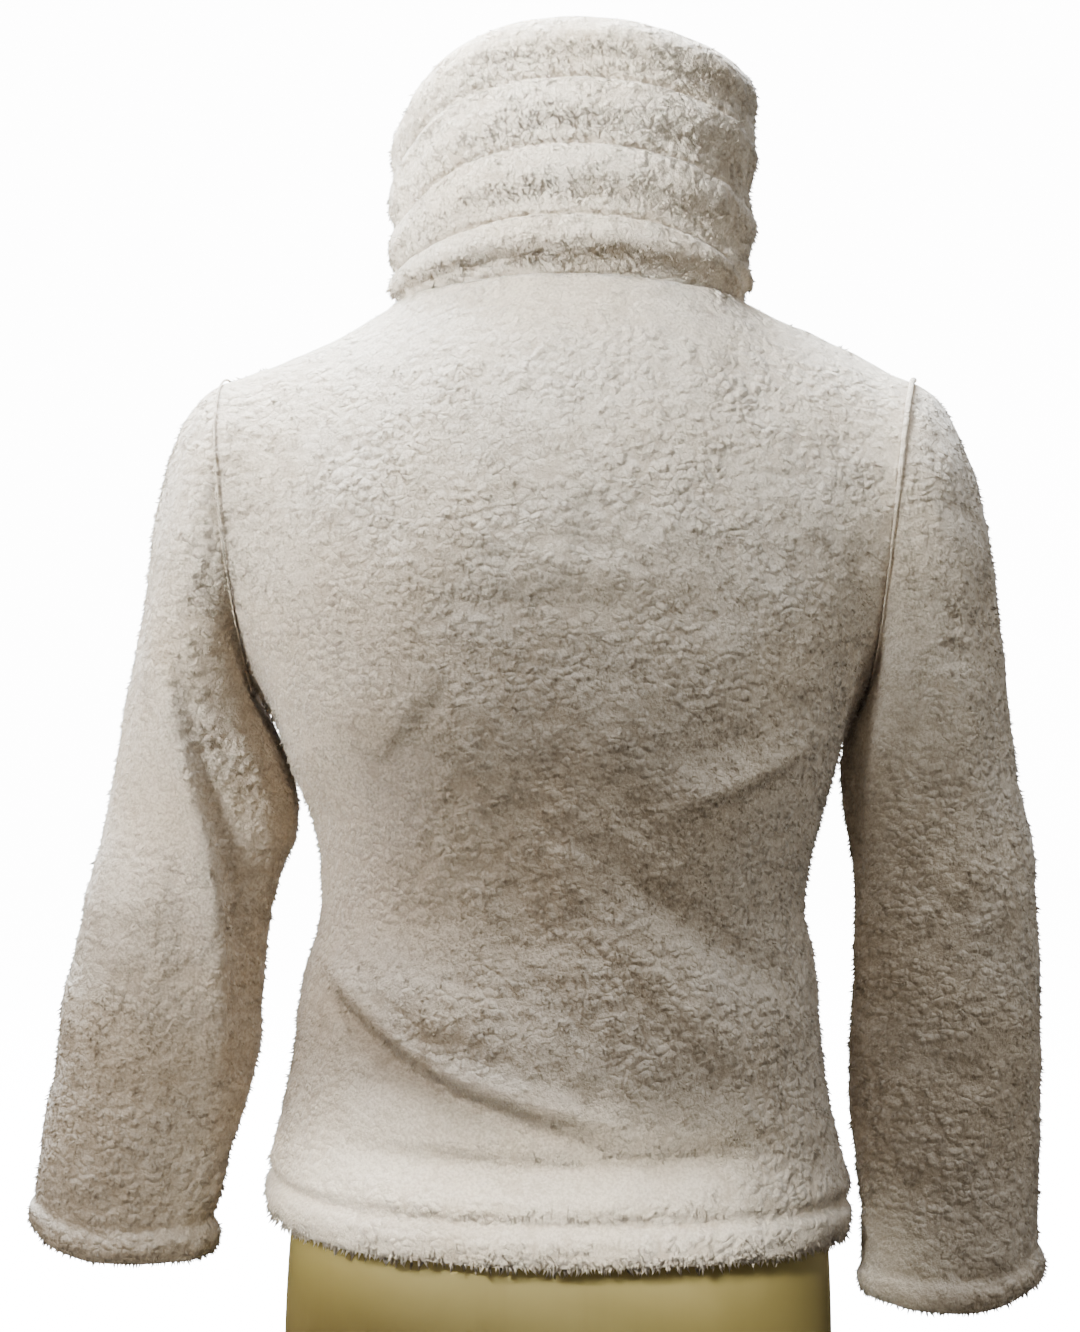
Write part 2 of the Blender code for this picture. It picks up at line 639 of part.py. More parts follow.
def grid_normal(grid, row, column, hand):
    """Outward normal of a sleeve's grid, whose rows are closed rings."""
    columns = len(grid[0])
    around = grid[row][(column + 1) % columns] - grid[row][column - 1]
    down = grid[min(row + 1, len(grid) - 1)][column] - grid[max(row - 1, 0)][column]
    return around.cross(down).normalized() * hand


def build_sleeve(name, hand):
    starts, edge_normals = armhole(hand)
    angles = [sleeve_angle(index) for index in range(len(starts))]
    plain = [[sleeve_curve(hand, start, a, t) for start, a in zip(starts, angles)] for t in SLEEVE_BLEND]
    for share in sleeve_shares(hand):
        plain.append([sleeve_ring_point(hand, sleeve_height(hand, share, a), a) for a in angles])
    outer = []
    inner = []
    for row, ring in enumerate(plain):
        outer_ring = []
        inner_ring = []
        for column, point in enumerate(ring):
            normal = edge_normals[column] if row == 0 else grid_normal(plain, row, column, hand)
            edge = SLEEVES[hand][0].height + cuff_lift(hand, angles[column])
            place = SLEEVE_GIRTH * column / len(ring)
            fold = fold_depth(SLEEVE_FOLDS, hand, place, point.z) * ease(row / 3)
            roll = hem_roll(point.z - edge, CUFF_HEM)
            outer_ring.append(point + normal * (fold + roll))
            inner_ring.append(point + normal * (fold - WALL))
        outer.append(outer_ring)
        inner.append(inner_ring)
    for grid in (outer, inner):
        draw_back(grid, first_row=True)
    wall(name, outer, inner, "fleece", around=True)


# ---------------------------------------------------------------- collar


def neckline_places():
    """The collar's columns, from the left front edge round the back to the right front edge."""
    half = half_columns()[: NECK_COLUMNS + 1]
    left = [column_at_edge(1.0, LEFT)] + half[1:]
    right = [column_at_edge(1.0, RIGHT)] + [-u for u in half[1:]]
    back = list(reversed(half[:-1])) + [-u for u in half[1:-1]]
    return [(u, FRONT) for u in left] + [(u, BACK) for u in back] + [(u, FRONT) for u in reversed(right)]


def neckline_direction(u, side):
    """The neckline's own direction, which runs from front to back where it meets the shoulder seam."""
    if abs(u) >= NECK_SHARE:
        return Vector((0, 1, 0))
    return jacket_top_edge(u + SLOPE_STEP, side) - jacket_top_edge(u - SLOPE_STEP, side)


def round_value(row, around):
    """Blend a row's values by the direction that a place of the collar faces."""
    side = mix(row.right, row.left, ease(0.5 + around.x / 2))
    return mix(side, row.back if around.y > 0 else row.front, abs(around.y) ** FACING_POWER)


def collar_point(base, around, row, fade):
    """The outer and the plain points of a collar row, which is counted in steps of each roll."""
    roll, step = divmod(row, ROLL_ROWS)
    if roll == len(CREASES) - 1:
        roll, step = roll - 1, ROLL_ROWS
    low = round_value(CREASES[roll], around)
    high = round_value(CREASES[roll + 1], around)
    part = step / ROLL_ROWS
    share = mix(low, high, part)
    height = share * round_value(COLLAR_HEIGHT, around)
    plain = base + around * (round_value(COLLAR_LEAN, around) * share**0.8) + Vector((0, 0, height))
    bulge = round_value(COLLAR_ROLL, around) * math.sin(math.pi * part**COLLAR_SKEW) * fade
    bulge *= ease(share / 0.08) if roll == 0 else 1.0
    outer = plain + around * bulge - Vector((0, 0, bulge * ROLL_SAG))
    return outer, plain, share


def build_collar():
    places = neckline_places()
    middle = Vector((LEAN, 0, 0))
    rows = ROLL_ROWS * (len(CREASES) - 1) + 1
    columns = []
    for u, side in places:
        base = jacket_top_edge(u, side)
        offset = Vector((base.x - middle.x, base.y, 0))
        # the normal of the neckline's own oval
        around = Vector((offset.x / NECK_HALF**2, offset.y / NECK_DEPTH[side] ** 2, 0)).normalized()
        fade = ease((abs(offset.x) - ZIP_HALF) / ZIP_FADE) if side == FRONT else 1.0
        seam_normal = top_normal(u, side)
        into_panel = seam_normal.cross(neckline_direction(u, side)).normalized()
        into_panel *= math.copysign(SEAM_GAP, into_panel.dot(around))
        columns.append((base - into_panel, seam_normal, around, fade))
    outer = []
    inner = []
    for row in range(rows):
        outer_row = []
        inner_row = []
        for base, seam_normal, around, fade in columns:
            outside, plain, share = collar_point(base, around, row, fade)
            turned = ease(share / COLLAR_TURN)
            inwards = mix(seam_normal * WALL, around * COLLAR_WALL, turned)
            outer_row.append(outside)
            inner_row.append(plain - inwards)
        outer.append(outer_row)
        inner.append(inner_row)
    wall("collar", outer, inner, "fleece")
    return outer, inner


# ---------------------------------------------------------------- zip


def zip_sections(left_edge, right_edge):
    """Middle, direction across and outward normal of the zip at every second row of the front edges."""
    sections = []
    last = len(left_edge) - 1
    rows = [row for row in range(0, last, ZIP_ROW_STEP)] + [last]
    for row in rows:
        left = (left_edge[row][0] + left_edge[row][1]) / 2
        right = (right_edge[row][0] + right_edge[row][1]) / 2
        across = (left - right).normalized()
        outwards = left_edge[row][0] - left_edge[row][1] + right_edge[row][0] - right_edge[row][1]
        outwards = (outwards - across * outwards.dot(across)).normalized()
        sections.append(((left + right) / 2, across, outwards))
    return sections


def strip(name, sections, near, far, thickness, material):
    """A flat strip along the zip, between two distances from its middle."""
    form = bmesh.new()
    rings = []
    for middle, across, outwards in sections:
        half = outwards * (thickness / 2)
        corners = (
            middle + across * near - half,
            middle + across * far - half,
            middle + across * far + half,
            middle + across * near + half,
        )
        rings.append([form.verts.new(corner) for corner in corners])
    for low, high in zip(rings, rings[1:]):
        for index in range(4):
            after = (index + 1) % 4
            form.faces.new((low[index], low[after], high[after], high[index]))
    form.faces.new(rings[0])
    form.faces.new(rings[-1])
    finish_mesh(name, form, material)


def section_at(sections, drop):
    """The zip's frame at a distance below its top end."""
    for high, low in zip(reversed(sections), reversed(sections[:-1])):
        length = (high[0] - low[0]).length
        if drop <= length:
            share = drop / length
            return [mix(a, b, share) for a, b in zip(high, low)]
        drop -= length
    return sections[0]


def box(form, low, high):
    """A box between two corners."""
    size = Vector(high) - Vector(low)
    centre = (Vector(high) + Vector(low)) / 2
    turned = Matrix.Translation(centre) @ Matrix.Diagonal((*size, 1))
    bmesh.ops.create_cube(form, size=1, matrix=turned)


def joined(name, shapes, material):
    """Join shapes, each a function that fills a bmesh, into one body."""
    pieces = []
    for index, shape in enumerate(shapes):
        form = bmesh.new()
        shape(form)
        pieces.append(finish_mesh(name if index == 0 else f"{name}_cutter_{index}", form, material))
    whole = pieces[0]
    for other in pieces[1:]:
        other.hide_render = True
        other.display_type = "WIRE"
        union = whole.modifiers.new(other.name, "BOOLEAN")
        union.operation = "UNION"
        union.object = other
    return whole


def build_slider(frame):
    """Two plates round the chain, a post between them at the top, and an arch that holds the pull."""
    plate_gap = CHAIN_THICKNESS / 2 + SEAM_GAP
    half = SLIDER["length"] / 2
    width = SLIDER["width"] / 2
    depth = plate_gap + SLIDER["plate"]
    sunk = SLIDER["plate"] / 2
    arch_width = ARCH["width"] / 2
    arch_half = ARCH["half_length"]
    under_beam = depth + ARCH["rise"]

    def front_plate(form):
        box(form, (-width, -depth, -half), (width, -plate_gap, half))

    def back_plate(form):
        box(form, (-width, plate_gap, -half), (width, depth, half))

    def post(form):
        post_half = SLIDER["post_width"] / 2
        box(form, (-post_half, -plate_gap - sunk, half - SLIDER["post"]), (post_half, plate_gap + sunk, half))

    def foot(end):
        low, high = sorted((end * arch_half, end * (arch_half - ARCH["foot"])))

        def shape(form):
            box(form, (-arch_width, -under_beam - ARCH["beam"] / 2, low), (arch_width, -depth + sunk, high))

        return shape

    def beam(form):
        box(form, (-arch_width, -under_beam - ARCH["beam"], -arch_half), (arch_width, -under_beam, arch_half))

    slider = joined("zip_slider", [front_plate, back_plate, post, foot(1), foot(-1), beam], "metal")
    place_on(slider, frame)


def place_on(piece, frame):
    """Put an object and its hidden helpers where the zip's frame is."""
    names = [piece.name] + [union.object.name for union in piece.modifiers if union.type == "BOOLEAN"]
    for name in names:
        bpy.data.objects[name].matrix_world = frame


def build_pull(frame):
    """A flat tab whose top bar lies under the slider's arch. Its origin is on that bar's axis."""
    top = PULL_EYE["near"]
    eye_half = PULL_EYE["width"] / 2
    eye_top = -PULL_EYE["near"]
    eye_foot = -PULL_EYE["far"]
    neck = PULL["neck"] / 2
    width = PULL["width"] / 2
    bottom = top - PULL["length"]
    shoulder = eye_foot - PULL["neck_length"]
    corner = 0.0015
    outline = [
        (-neck, top),
        (-neck, shoulder + corner),
        (-width, shoulder - corner),
        (-width, bottom + corner),
        (-width + corner, bottom),
    ]
    outline += [(-x, z) for x, z in reversed(outline)]
    eye = [(-eye_half, eye_top), (-eye_half, eye_foot), (eye_half, eye_foot), (eye_half, eye_top)]
    form = bmesh.new()
    loops = []
    for path in (outline, eye):
        for y in (-PULL["thickness"] / 2, PULL["thickness"] / 2):
            loops.append([form.verts.new((x, y, z)) for x, z in path])
    for front, back in ((loops[0], loops[1]), (loops[2], loops[3])):
        for index in range(len(front)):
            after = (index + 1) % len(front)
            form.faces.new((front[index], front[after], back[after], back[index]))
    for outside, hole in ((loops[0], loops[2]), (loops[1], loops[3])):
        edges = [form.edges.get((loop[i], loop[i - 1])) for loop in (outside, hole) for i in range(len(loop))]
        bmesh.ops.triangle_fill(form, use_beauty=True, use_dissolve=False, edges=edges)
    pull = finish_mesh("zip_pull", form, "metal")
    hinge_y = -(CHAIN_THICKNESS / 2 + SEAM_GAP + SLIDER["plate"] + HINGE_RISE)
    pull.matrix_world = frame @ Matrix.Translation((0, hinge_y, -HINGE_DROP))


def build_zip(left_edge, right_edge):
    sections = zip_sections(left_edge, right_edge)
    tape_near = CHAIN_HALF + SEAM_GAP
    tape_far = ZIP_HALF - SEAM_GAP
    strip("zip_tape_left", sections, tape_near, tape_far, TAPE_THICKNESS, "tape")
    strip("zip_tape_right", sections, -tape_far, -tape_near, TAPE_THICKNESS, "tape")
    middle, across, outwards = section_at(sections, SLIDER_DROP)
    up = Vector((0, 0, 1))
    outwards = (outwards - up * outwards.dot(up)).normalized()
    frame = Matrix((up.cross(outwards), -outwards, up)).transposed().to_4x4()
    frame.translation = middle
    post_foot = SLIDER["length"] / 2 - SLIDER["post"] - SEAM_GAP
    chain_top = section_at(sections, SLIDER_DROP - post_foot)
    chain = [section for section in sections if section[0].z < chain_top[0].z - SEAM_GAP] + [chain_top]
    strip("zip_chain", chain, -CHAIN_HALF, CHAIN_HALF, CHAIN_THICKNESS, "teeth")
    build_slider(frame)
    build_pull(frame)


# ---------------------------------------------------------------- dress form


def form_columns():
    """Every second column of the panels, so that the form follows the same seams."""
    half = half_columns()
    neck = half[: NECK_COLUMNS + 1 : 2]
    return neck + half[NECK_COLUMNS + 2 :: 2]


def form_ring(level):
    """All round the form, from the left side seam over the back to the right and back over the front."""
    half = form_columns()
    columns = list(reversed(half)) + [-u for u in half[1:]]
    back = [torso_point(FORM, u, level, BACK) for u in columns]
    front = [torso_point(FORM, u, level, FRONT) for u in reversed(columns[1:-1])]
    return back + front


def add_ring(form, points):
    return [form.verts.new(point) for point in points]


def bridge(form, low, high):
    for index in range(len(low)):
        after = (index + 1) % len(low)
        form.faces.new((low[index], low[after], high[after], high[index]))


def close_ring(form, ring, centre):
    middle = form.verts.new(centre)
    for index in range(len(ring)):
        form.faces.new((ring[index], ring[(index + 1) % len(ring)], middle))


def build_form_patch(form, bottom, side):
    """The form's back or front above the armpit, between the armholes."""
    half = form_columns()
    columns = list(reversed(half)) + [-u for u in half[1:]]
    rows = [bottom]
    for index in range(1, FORM_UPPER_ROWS + 1):
        level = index / FORM_UPPER_ROWS
        rows.append([form.verts.new(torso_point(FORM, u, level, side)) for u in columns])
    for low, high in zip(rows, rows[1:]):
        for index in range(len(columns) - 1):
            form.faces.new((low[index], low[index + 1], high[index + 1], high[index]))
    return rows


def build_dress_form():
    """One smooth closed body: base, torso, shoulder caps and neck."""
    form = bmesh.new()
    levels = [-1 + index / FORM_LOWER_ROWS for index in range(FORM_LOWER_ROWS + 1)]
    rings = [add_ring(form, form_ring(level)) for level in levels]
    for low, high in zip(rings, rings[1:]):
        bridge(form, low, high)
    form.faces.new(rings[0])
    across = len(form_columns()) * 2 - 1
    top_ring = rings[-1]
    back = build_form_patch(form, top_ring[:across], BACK)
    front_start = [top_ring[0]] + list(reversed(top_ring[across - 1 :]))
    front = build_form_patch(form, front_start, FRONT)
    for column, hand in ((0, LEFT), (-1, RIGHT)):
        loop = [row[column] for row in back] + [row[column] for row in reversed(front[1:-1])]
        centre = sum((vert.co for vert in loop), Vector()) / len(loop)
        dome = Vector((hand * FORM_CAP_DOME, 0, 0))
        cap = add_ring(form, [mix(vert.co, centre, 0.35) + dome * 0.7 for vert in loop])
        bridge(form, loop, cap)
        close_ring(form, cap, centre + dome)
    neck_start = len(form_columns()) - 1 - NECK_COLUMNS // 2
    neck_end = neck_start + NECK_COLUMNS
    neckline = back[-1][neck_start : neck_end + 1] + list(reversed(front[-1][neck_start + 1 : neck_end]))
    build_form_neck(form, neckline)
    bmesh.ops.remove_doubles(form, verts=form.verts, dist=0.0001)
    finish_mesh("dress_form", form, "form")


def build_form_neck(form, neckline):
    middle = Vector((LEAN, 0, 0))
    directions = [Vector((vert.co.x - middle.x, vert.co.y, 0)).normalized() for vert in neckline]
    previous = neckline
    for share in FORM_NECK_ROWS:
        ring = []
        for vert, direction in zip(neckline, directions):
            base = middle + direction * FORM_NECK_RADIUS
            point = mix(vert.co, base, share)
            point.z = mix(vert.co.z, FORM_NECK_BASE_Z, share**1.7)
            ring.append(point)
        current = add_ring(form, ring)
        bridge(form, previous, current)
        previous = current
    for radius, below in ((0.98, 0.006), (0.94, 0.001), (0.80, 0)):
        lift = Vector((0, 0, FORM_NECK_TOP_Z - below))
        current = add_ring(form, [middle + d * (FORM_NECK_RADIUS * radius) + lift for d in directions])
        bridge(form, previous, current)
        previous = current
    close_ring(form, previous, middle + Vector((0, 0, FORM_NECK_TOP_Z)))


def main():
    for piece in list(bpy.data.objects):
        bpy.data.objects.remove(piece)
    build_back()
    edges = {}
    for name, hand in (("front_left", LEFT), ("front_right", RIGHT)):
        outer, inner = build_front(name, hand)
        edges[hand] = [(a[0], b[0]) for a, b in zip(outer, inner)]
    build_sleeve("sleeve_left", LEFT)
    build_sleeve("sleeve_right", RIGHT)
    outer, inner = build_collar()
    edges[LEFT] += [(a[0], b[0]) for a, b in zip(outer[1:], inner[1:])]
    edges[RIGHT] += [(a[-1], b[-1]) for a, b in zip(outer[1:], inner[1:])]
    build_zip(edges[LEFT], edges[RIGHT])
    build_dress_form()


main()
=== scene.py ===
import math

import bmesh
import bpy
import numpy as np
from mathutils import Matrix, Vector, noise
from mathutils.bvhtree import BVHTree
from mathutils.kdtree import KDTree


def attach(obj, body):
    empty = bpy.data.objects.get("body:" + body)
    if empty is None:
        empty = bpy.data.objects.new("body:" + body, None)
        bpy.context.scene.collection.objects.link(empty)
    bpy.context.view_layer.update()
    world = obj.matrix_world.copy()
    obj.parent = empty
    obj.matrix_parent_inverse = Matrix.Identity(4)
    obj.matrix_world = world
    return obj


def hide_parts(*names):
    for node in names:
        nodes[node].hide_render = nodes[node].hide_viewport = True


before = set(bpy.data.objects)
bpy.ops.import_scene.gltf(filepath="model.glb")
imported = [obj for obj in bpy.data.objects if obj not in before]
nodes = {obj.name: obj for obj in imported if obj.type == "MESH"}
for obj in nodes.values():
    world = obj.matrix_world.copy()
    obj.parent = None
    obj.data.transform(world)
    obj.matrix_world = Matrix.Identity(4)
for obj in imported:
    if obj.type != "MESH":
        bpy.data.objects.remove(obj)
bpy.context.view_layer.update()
scene = bpy.context.scene

# the wearer's left is +X and the back is +Y, which is the side that the camera sees

camera = {"place": (0.012, 1.25, 0.46), "lens": 55.4}


def addCamera():
    data = bpy.data.cameras.new("camera")
    data.lens = camera["lens"]
    data.sensor_width = 36
    data.clip_start = 0.01
    eye = bpy.data.objects.new("camera", data)
    scene.collection.objects.link(eye)
    eye.location = camera["place"]
    eye.rotation_euler = (math.pi / 2, 0, math.pi)
    scene.camera = eye


addCamera()
print("camera placed")


class Wire:  # a socket that can take part in sums
    def __init__(self, paint, socket):
        self.paint = paint
        self.socket = socket

    def sum(self, operation, first, second):
        return self.paint.node("ShaderNodeMath", {"operation": operation}, {0: first, 1: second})

    def __add__(self, other):
        return self.sum("ADD", self, other)

    def __radd__(self, other):
        return self.sum("ADD", other, self)

    def __sub__(self, other):
        return self.sum("SUBTRACT", self, other)

    def __rsub__(self, other):
        return self.sum("SUBTRACT", other, self)

    def __mul__(self, other):
        return self.sum("MULTIPLY", self, other)

    def __rmul__(self, other):
        return self.sum("MULTIPLY", other, self)


class Paint:  # one material and the nodes that make it
    def __init__(self, name, settings):
        self.material = bpy.data.materials.new(name)
        self.material.use_nodes = True
        self.tree = self.material.node_tree
        self.shader = self.tree.nodes["Principled BSDF"]
        for socket, value in settings.items():
            self.shader.inputs[socket].default_value = value

    def node(self, kind, settings=None, inputs=None, output=0):
        made = self.tree.nodes.new(kind)
        for field, value in (settings or {}).items():
            setattr(made, field, value)
        for socket, value in (inputs or {}).items():
            self.feed(made.inputs[socket], value)
        return Wire(self, made.outputs[output])

    def feed(self, socket, value):
        if isinstance(value, Wire):
            self.tree.links.new(value.socket, socket)
        elif hasattr(value, "__len__") and len(value) == 3 and socket.type == "RGBA":
            socket.default_value = (*value, 1)
        else:
            socket.default_value = value

    def place(self):
        return self.node("ShaderNodeTexCoord", output="Object")

    def stretched(self, scale):
        return self.node("ShaderNodeMapping", None, {"Vector": self.place(), "Scale": scale})

    def attribute(self, name, output="Fac"):
        return self.node("ShaderNodeAttribute", {"attribute_name": name}, output=output)

    def vector(self, operation, inputs):
        return self.node("ShaderNodeVectorMath", {"operation": operation}, inputs)

    def cloud(self, scale, detail=2.0, distortion=0.0, vector=None):
        inputs = {"Scale": scale, "Detail": detail, "Distortion": distortion}
        return self.node("ShaderNodeTexNoise", None, {"Vector": vector or self.place(), **inputs})

    def bands(self, direction, scale, distortion, vector):
        inputs = {"Vector": vector, "Scale": scale, "Distortion": distortion}
        return self.node("ShaderNodeTexWave", {"bands_direction": direction}, inputs)

    def spread(self, value, low, high, start=0.0, end=1.0):
        inputs = {"Value": value, "From Min": low, "From Max": high, "To Min": start, "To Max": end}
        return self.node("ShaderNodeMapRange", {"interpolation_type": "SMOOTHSTEP"}, inputs)

    def blend(self, share, low, high, kind="MIX"):
        settings = {"data_type": "RGBA", "blend_type": kind}
        return self.node("ShaderNodeMix", settings, {0: share, 6: low, 7: high}, 2)

    def bump(self, height, distance, strength=1.0, normal=None):
        inputs = {"Height": height, "Distance": distance, "Strength": strength}
        if normal:
            inputs["Normal"] = normal
        return self.node("ShaderNodeBump", None, inputs)

    def finish(self, sockets):
        for socket, value in sockets.items():
            self.feed(self.shader.inputs[socket], value)
        return self.material


plush = {
    "tip": (0.90, 0.81, 0.69),
    # painted shade: the roots are darker than the tips to stand for the shade deep in the pile
    "root": (0.80, 0.69, 0.55),
    # painted shade in the cracks between clumps, also the colour of the darker fibres in the random speckle
    "crackShadeAndSpeckle": (0.42, 0.31, 0.20),
    "warm": (0.95, 0.89, 0.80),
    "warmScale": 14,
    "warmShare": 0.5,
    "clumpScale": 145,  # clumps to a metre
    "clumpFlat": 1.3,
    "warpScale": 95,
    "warp": 0.0090,
    "crackStart": 0.50,
    "crackEnd": 0.80,
    "domeStart": 0.1,
    "domeEnd": 0.78,
    # how dark the painted shade in the cracks gets
    "crackShadeShare": 0.42,
    "deepScale": 34,  # the painted shade in the cracks is darker in patches of this size
    "unevenScale": 18,
    "grain": 620,
    "grainShare": 0.42,
    "clothDepth": 0.6,  # how far up the pile's colours, from the painted shade of the roots to the tips, the bare cloth is
    "clothShade": 0.05,
    "domeHeight": 0.0024,
    "grainHeight": 0.0009,
    "lockDomeHeight": 0.0017,
    "towardsCloth": 2.4,  # how much each lock is lit as the cloth under it is
}


def plushClumps(paint, where):
    # how far a place is from the middle of its clump of fibres
    inputs = {"Vector": where, "Scale": plush["warpScale"], "Detail": 2.0}
    warped = paint.node("ShaderNodeTexNoise", None, inputs, 1)
    moved = paint.vector("MULTIPLY_ADD", {0: warped, 1: (plush["warp"],) * 3, 2: where})
    flat = paint.vector("MULTIPLY", {0: moved, 1: (1, 1, plush["clumpFlat"])})
    inputs = {"Vector": flat, "Scale": plush["clumpScale"]}
    return paint.node("ShaderNodeTexVoronoi", {"feature": "F1"}, inputs)


def plushColour(paint, depth, crack, shade):
    where = paint.place()
    patch = paint.spread(paint.cloud(plush["warmScale"], 3, 0.4, where), 0.35, 0.7)
    fibres = paint.cloud(plush["grain"], 3, 0.4, where)
    grain = paint.spread(fibres, 0.36, 0.62, plush["grainShare"], 0.0)
    # painted shade towards the roots of the locks, where depth is 0, lightening to the tips
    colour = paint.blend(depth, plush["root"], plush["tip"])
    colour = paint.blend(patch * plush["warmShare"], colour, plush["warm"], "MULTIPLY")
    colour = paint.blend(grain, colour, plush["crackShadeAndSpeckle"])
    colour = paint.blend(shade, colour, plush["crackShadeAndSpeckle"])
    darker = paint.cloud(plush["deepScale"], 2, 0.3, where)
    deep = paint.spread(darker, 0.42, 0.66, 0.04, plush["crackShadeShare"])
    # painted shade: the colour darkens in the cracks between clumps, more in some patches than others
    return paint.blend((1 - crack) * deep, colour, plush["crackShadeAndSpeckle"])


def makePlushCloth():
    settings = {"Roughness": 0.95, "Sheen Weight": 0.3, "Sheen Roughness": 0.6}
    paint = Paint("plushCloth", settings)
    where = paint.place()
    far = plushClumps(paint, where)
    crack = paint.spread(far, plush["crackEnd"], plush["crackStart"])
    uneven = paint.spread(paint.cloud(plush["unevenScale"], 2, 0.3, where), 0.35, 0.65, 0.35, 1.0)
    domes = paint.spread(far, plush["domeEnd"], plush["domeStart"]) * uneven
    normal = paint.bump(domes, plush["domeHeight"], 0.75)
    grain = paint.cloud(plush["grain"], 3, 0.6, where)
    normal = paint.bump(grain, plush["grainHeight"], 0.8, normal)
    colour = plushColour(paint, plush["clothDepth"], crack, plush["clothShade"])
    return paint.finish({"Base Color": colour, "Normal": normal})


def makePileFibre():
    settings = {"Roughness": 0.9, "Sheen Weight": 0.25, "Sheen Roughness": 0.5}
    paint = Paint("pileFibre", settings)
    tip = paint.attribute("tip")
    crack = paint.attribute("clump")
    shade = paint.attribute("shade")
    away = paint.attribute("clothNormal", "Vector")
    own = paint.node("ShaderNodeNewGeometry", output="Normal")
    soft = paint.vector("SCALE", {0: away, "Scale": plush["towardsCloth"]})
    normal = paint.vector("NORMALIZE", {0: paint.vector("ADD", {0: own, 1: soft})})
    domes = paint.spread(plushClumps(paint, paint.place()), plush["domeEnd"], plush["domeStart"])
    normal = paint.bump(domes, plush["lockDomeHeight"], 0.6, normal)
    return paint.finish({"Base Color": plushColour(paint, tip, crack, shade), "Normal": normal})


knit = {"rows": 260, "wales": 320, "dark": (0.68, 0.60, 0.49), "pale": (0.85, 0.77, 0.66), "relief": 0.0004}


def makeBacking():
    # the smooth knitted side of the fleece, with its fine loops
    paint = Paint("knittedBacking", {"Roughness": 0.9, "Sheen Weight": 0.2})
    where = paint.place()
    rows = paint.bands("Z", knit["rows"], 2.0, where)
    wales = paint.bands("X", knit["wales"], 1.5, where)
    loops = rows * 0.5 + wales * 0.5
    colour = paint.blend(loops, knit["dark"], knit["pale"])
    return paint.finish({"Base Color": colour, "Normal": paint.bump(loops, knit["relief"], 0.5)})


cover = {
    "dark": (0.29, 0.23, 0.075),
    "pale": (0.38, 0.305, 0.112),
    "streak": (0.25, 0.19, 0.062),
    "streakStretch": (60, 60, 6),
    "streakShare": 0.25,
    "mottleScale": 9,
    "grainScale": 1400,
}


def makeFormCover():
    paint = Paint("formCover", {"Roughness": 0.62})
    where = paint.place()
    mottle = paint.cloud(cover["mottleScale"], 4, 0.5, where)
    streaks = paint.cloud(1, 3, 0.3, paint.stretched(cover["streakStretch"]))
    grain = paint.cloud(cover["grainScale"], 2, 0, where)
    colour = paint.blend(paint.spread(mottle, 0.3, 0.75), cover["dark"], cover["pale"])
    colour = paint.blend(paint.spread(streaks, 0.5, 0.8, 0, cover["streakShare"]), colour, cover["streak"])
    rough = paint.spread(mottle, 0.3, 0.8, 0.52, 0.72)
    normal = paint.bump(grain, 0.0002, 0.25, paint.bump(mottle, 0.002, 0.15))
    return paint.finish({"Base Color": colour, "Roughness": rough, "Normal": normal})


tape = {"weft": 420, "warp": 380, "dark": (0.58, 0.52, 0.43), "pale": (0.76, 0.70, 0.60), "relief": 0.0003}


def makeTape():
    paint = Paint("wovenTape", {"Roughness": 0.85, "Sheen Weight": 0.15})
    where = paint.place()
    weft = paint.bands("Z", tape["weft"], 0.4, where)
    warp = paint.bands("X", tape["warp"], 0.4, where)
    weave = weft * 0.6 + warp * 0.4
    colour = paint.blend(weave, tape["dark"], tape["pale"])
    return paint.finish({"Base Color": colour, "Normal": paint.bump(weave, tape["relief"], 0.6)})


moulded = {"haze": 260, "dark": (0.78, 0.74, 0.66), "pale": (0.86, 0.83, 0.76)}


def makeMoulded():
    paint = Paint("mouldedTeeth", {"Roughness": 0.38, "Coat Weight": 0.1})
    haze = paint.cloud(moulded["haze"], 3)
    colour = paint.blend(paint.spread(haze, 0.3, 0.7), moulded["dark"], moulded["pale"])
    return paint.finish({"Base Color": colour, "Roughness": paint.spread(haze, 0.3, 0.8, 0.3, 0.48)})


metal = {"brushing": (900, 900, 60), "wear": 320, "dark": (0.55, 0.54, 0.52), "pale": (0.68, 0.67, 0.65)}


def makeMetal():
    paint = Paint("sliderMetal", {"Metallic": 1.0, "Roughness": 0.3})
    grain = paint.cloud(1, 3, 0, paint.stretched(metal["brushing"]))
    wear = paint.cloud(metal["wear"], 3, 0, paint.place())
    colour = paint.blend(paint.spread(wear, 0.35, 0.75), metal["dark"], metal["pale"])
    rough = paint.spread(grain, 0.3, 0.7, 0.24, 0.42)
    normal = paint.bump(grain, 0.0001, 0.2)
    return paint.finish({"Base Color": colour, "Roughness": rough, "Normal": normal})


clothMaterial = makePlushCloth()
backingMaterial = makeBacking()
pileMaterial = makePileFibre()
print("materials made")

cloth = {
    "smoothing": 2,  # levels of subdivision of the plain solids
    "inset": 0.0012,  # the pile stands this much above the cloth
    "corner": 0.57,  # the bend in radians that parts one wall from the next
    "frontCorner": 0.48,
    "innerShare": 0.5,  # how much of a trough's depth shows inside
    "thinning": 0.0024,  # the most that the wall grows thinner
    "swell": 0.0014,
    "swellScale": 24,
    "swellSeed": 3.1,
    "lump": 0.0013,
    "lumpScale": 70,
    "lumpSeed": 7.7,
    "seamCrease": 1.0,
    "foldShare": 0.8,
    "foldEnd": 0.02,  # a fold's depth at its ends, as a share of its length
    "turnAway": 0.03,  # folds grow from the side to full depth over this distance
    "rimPile": 0.7,
}

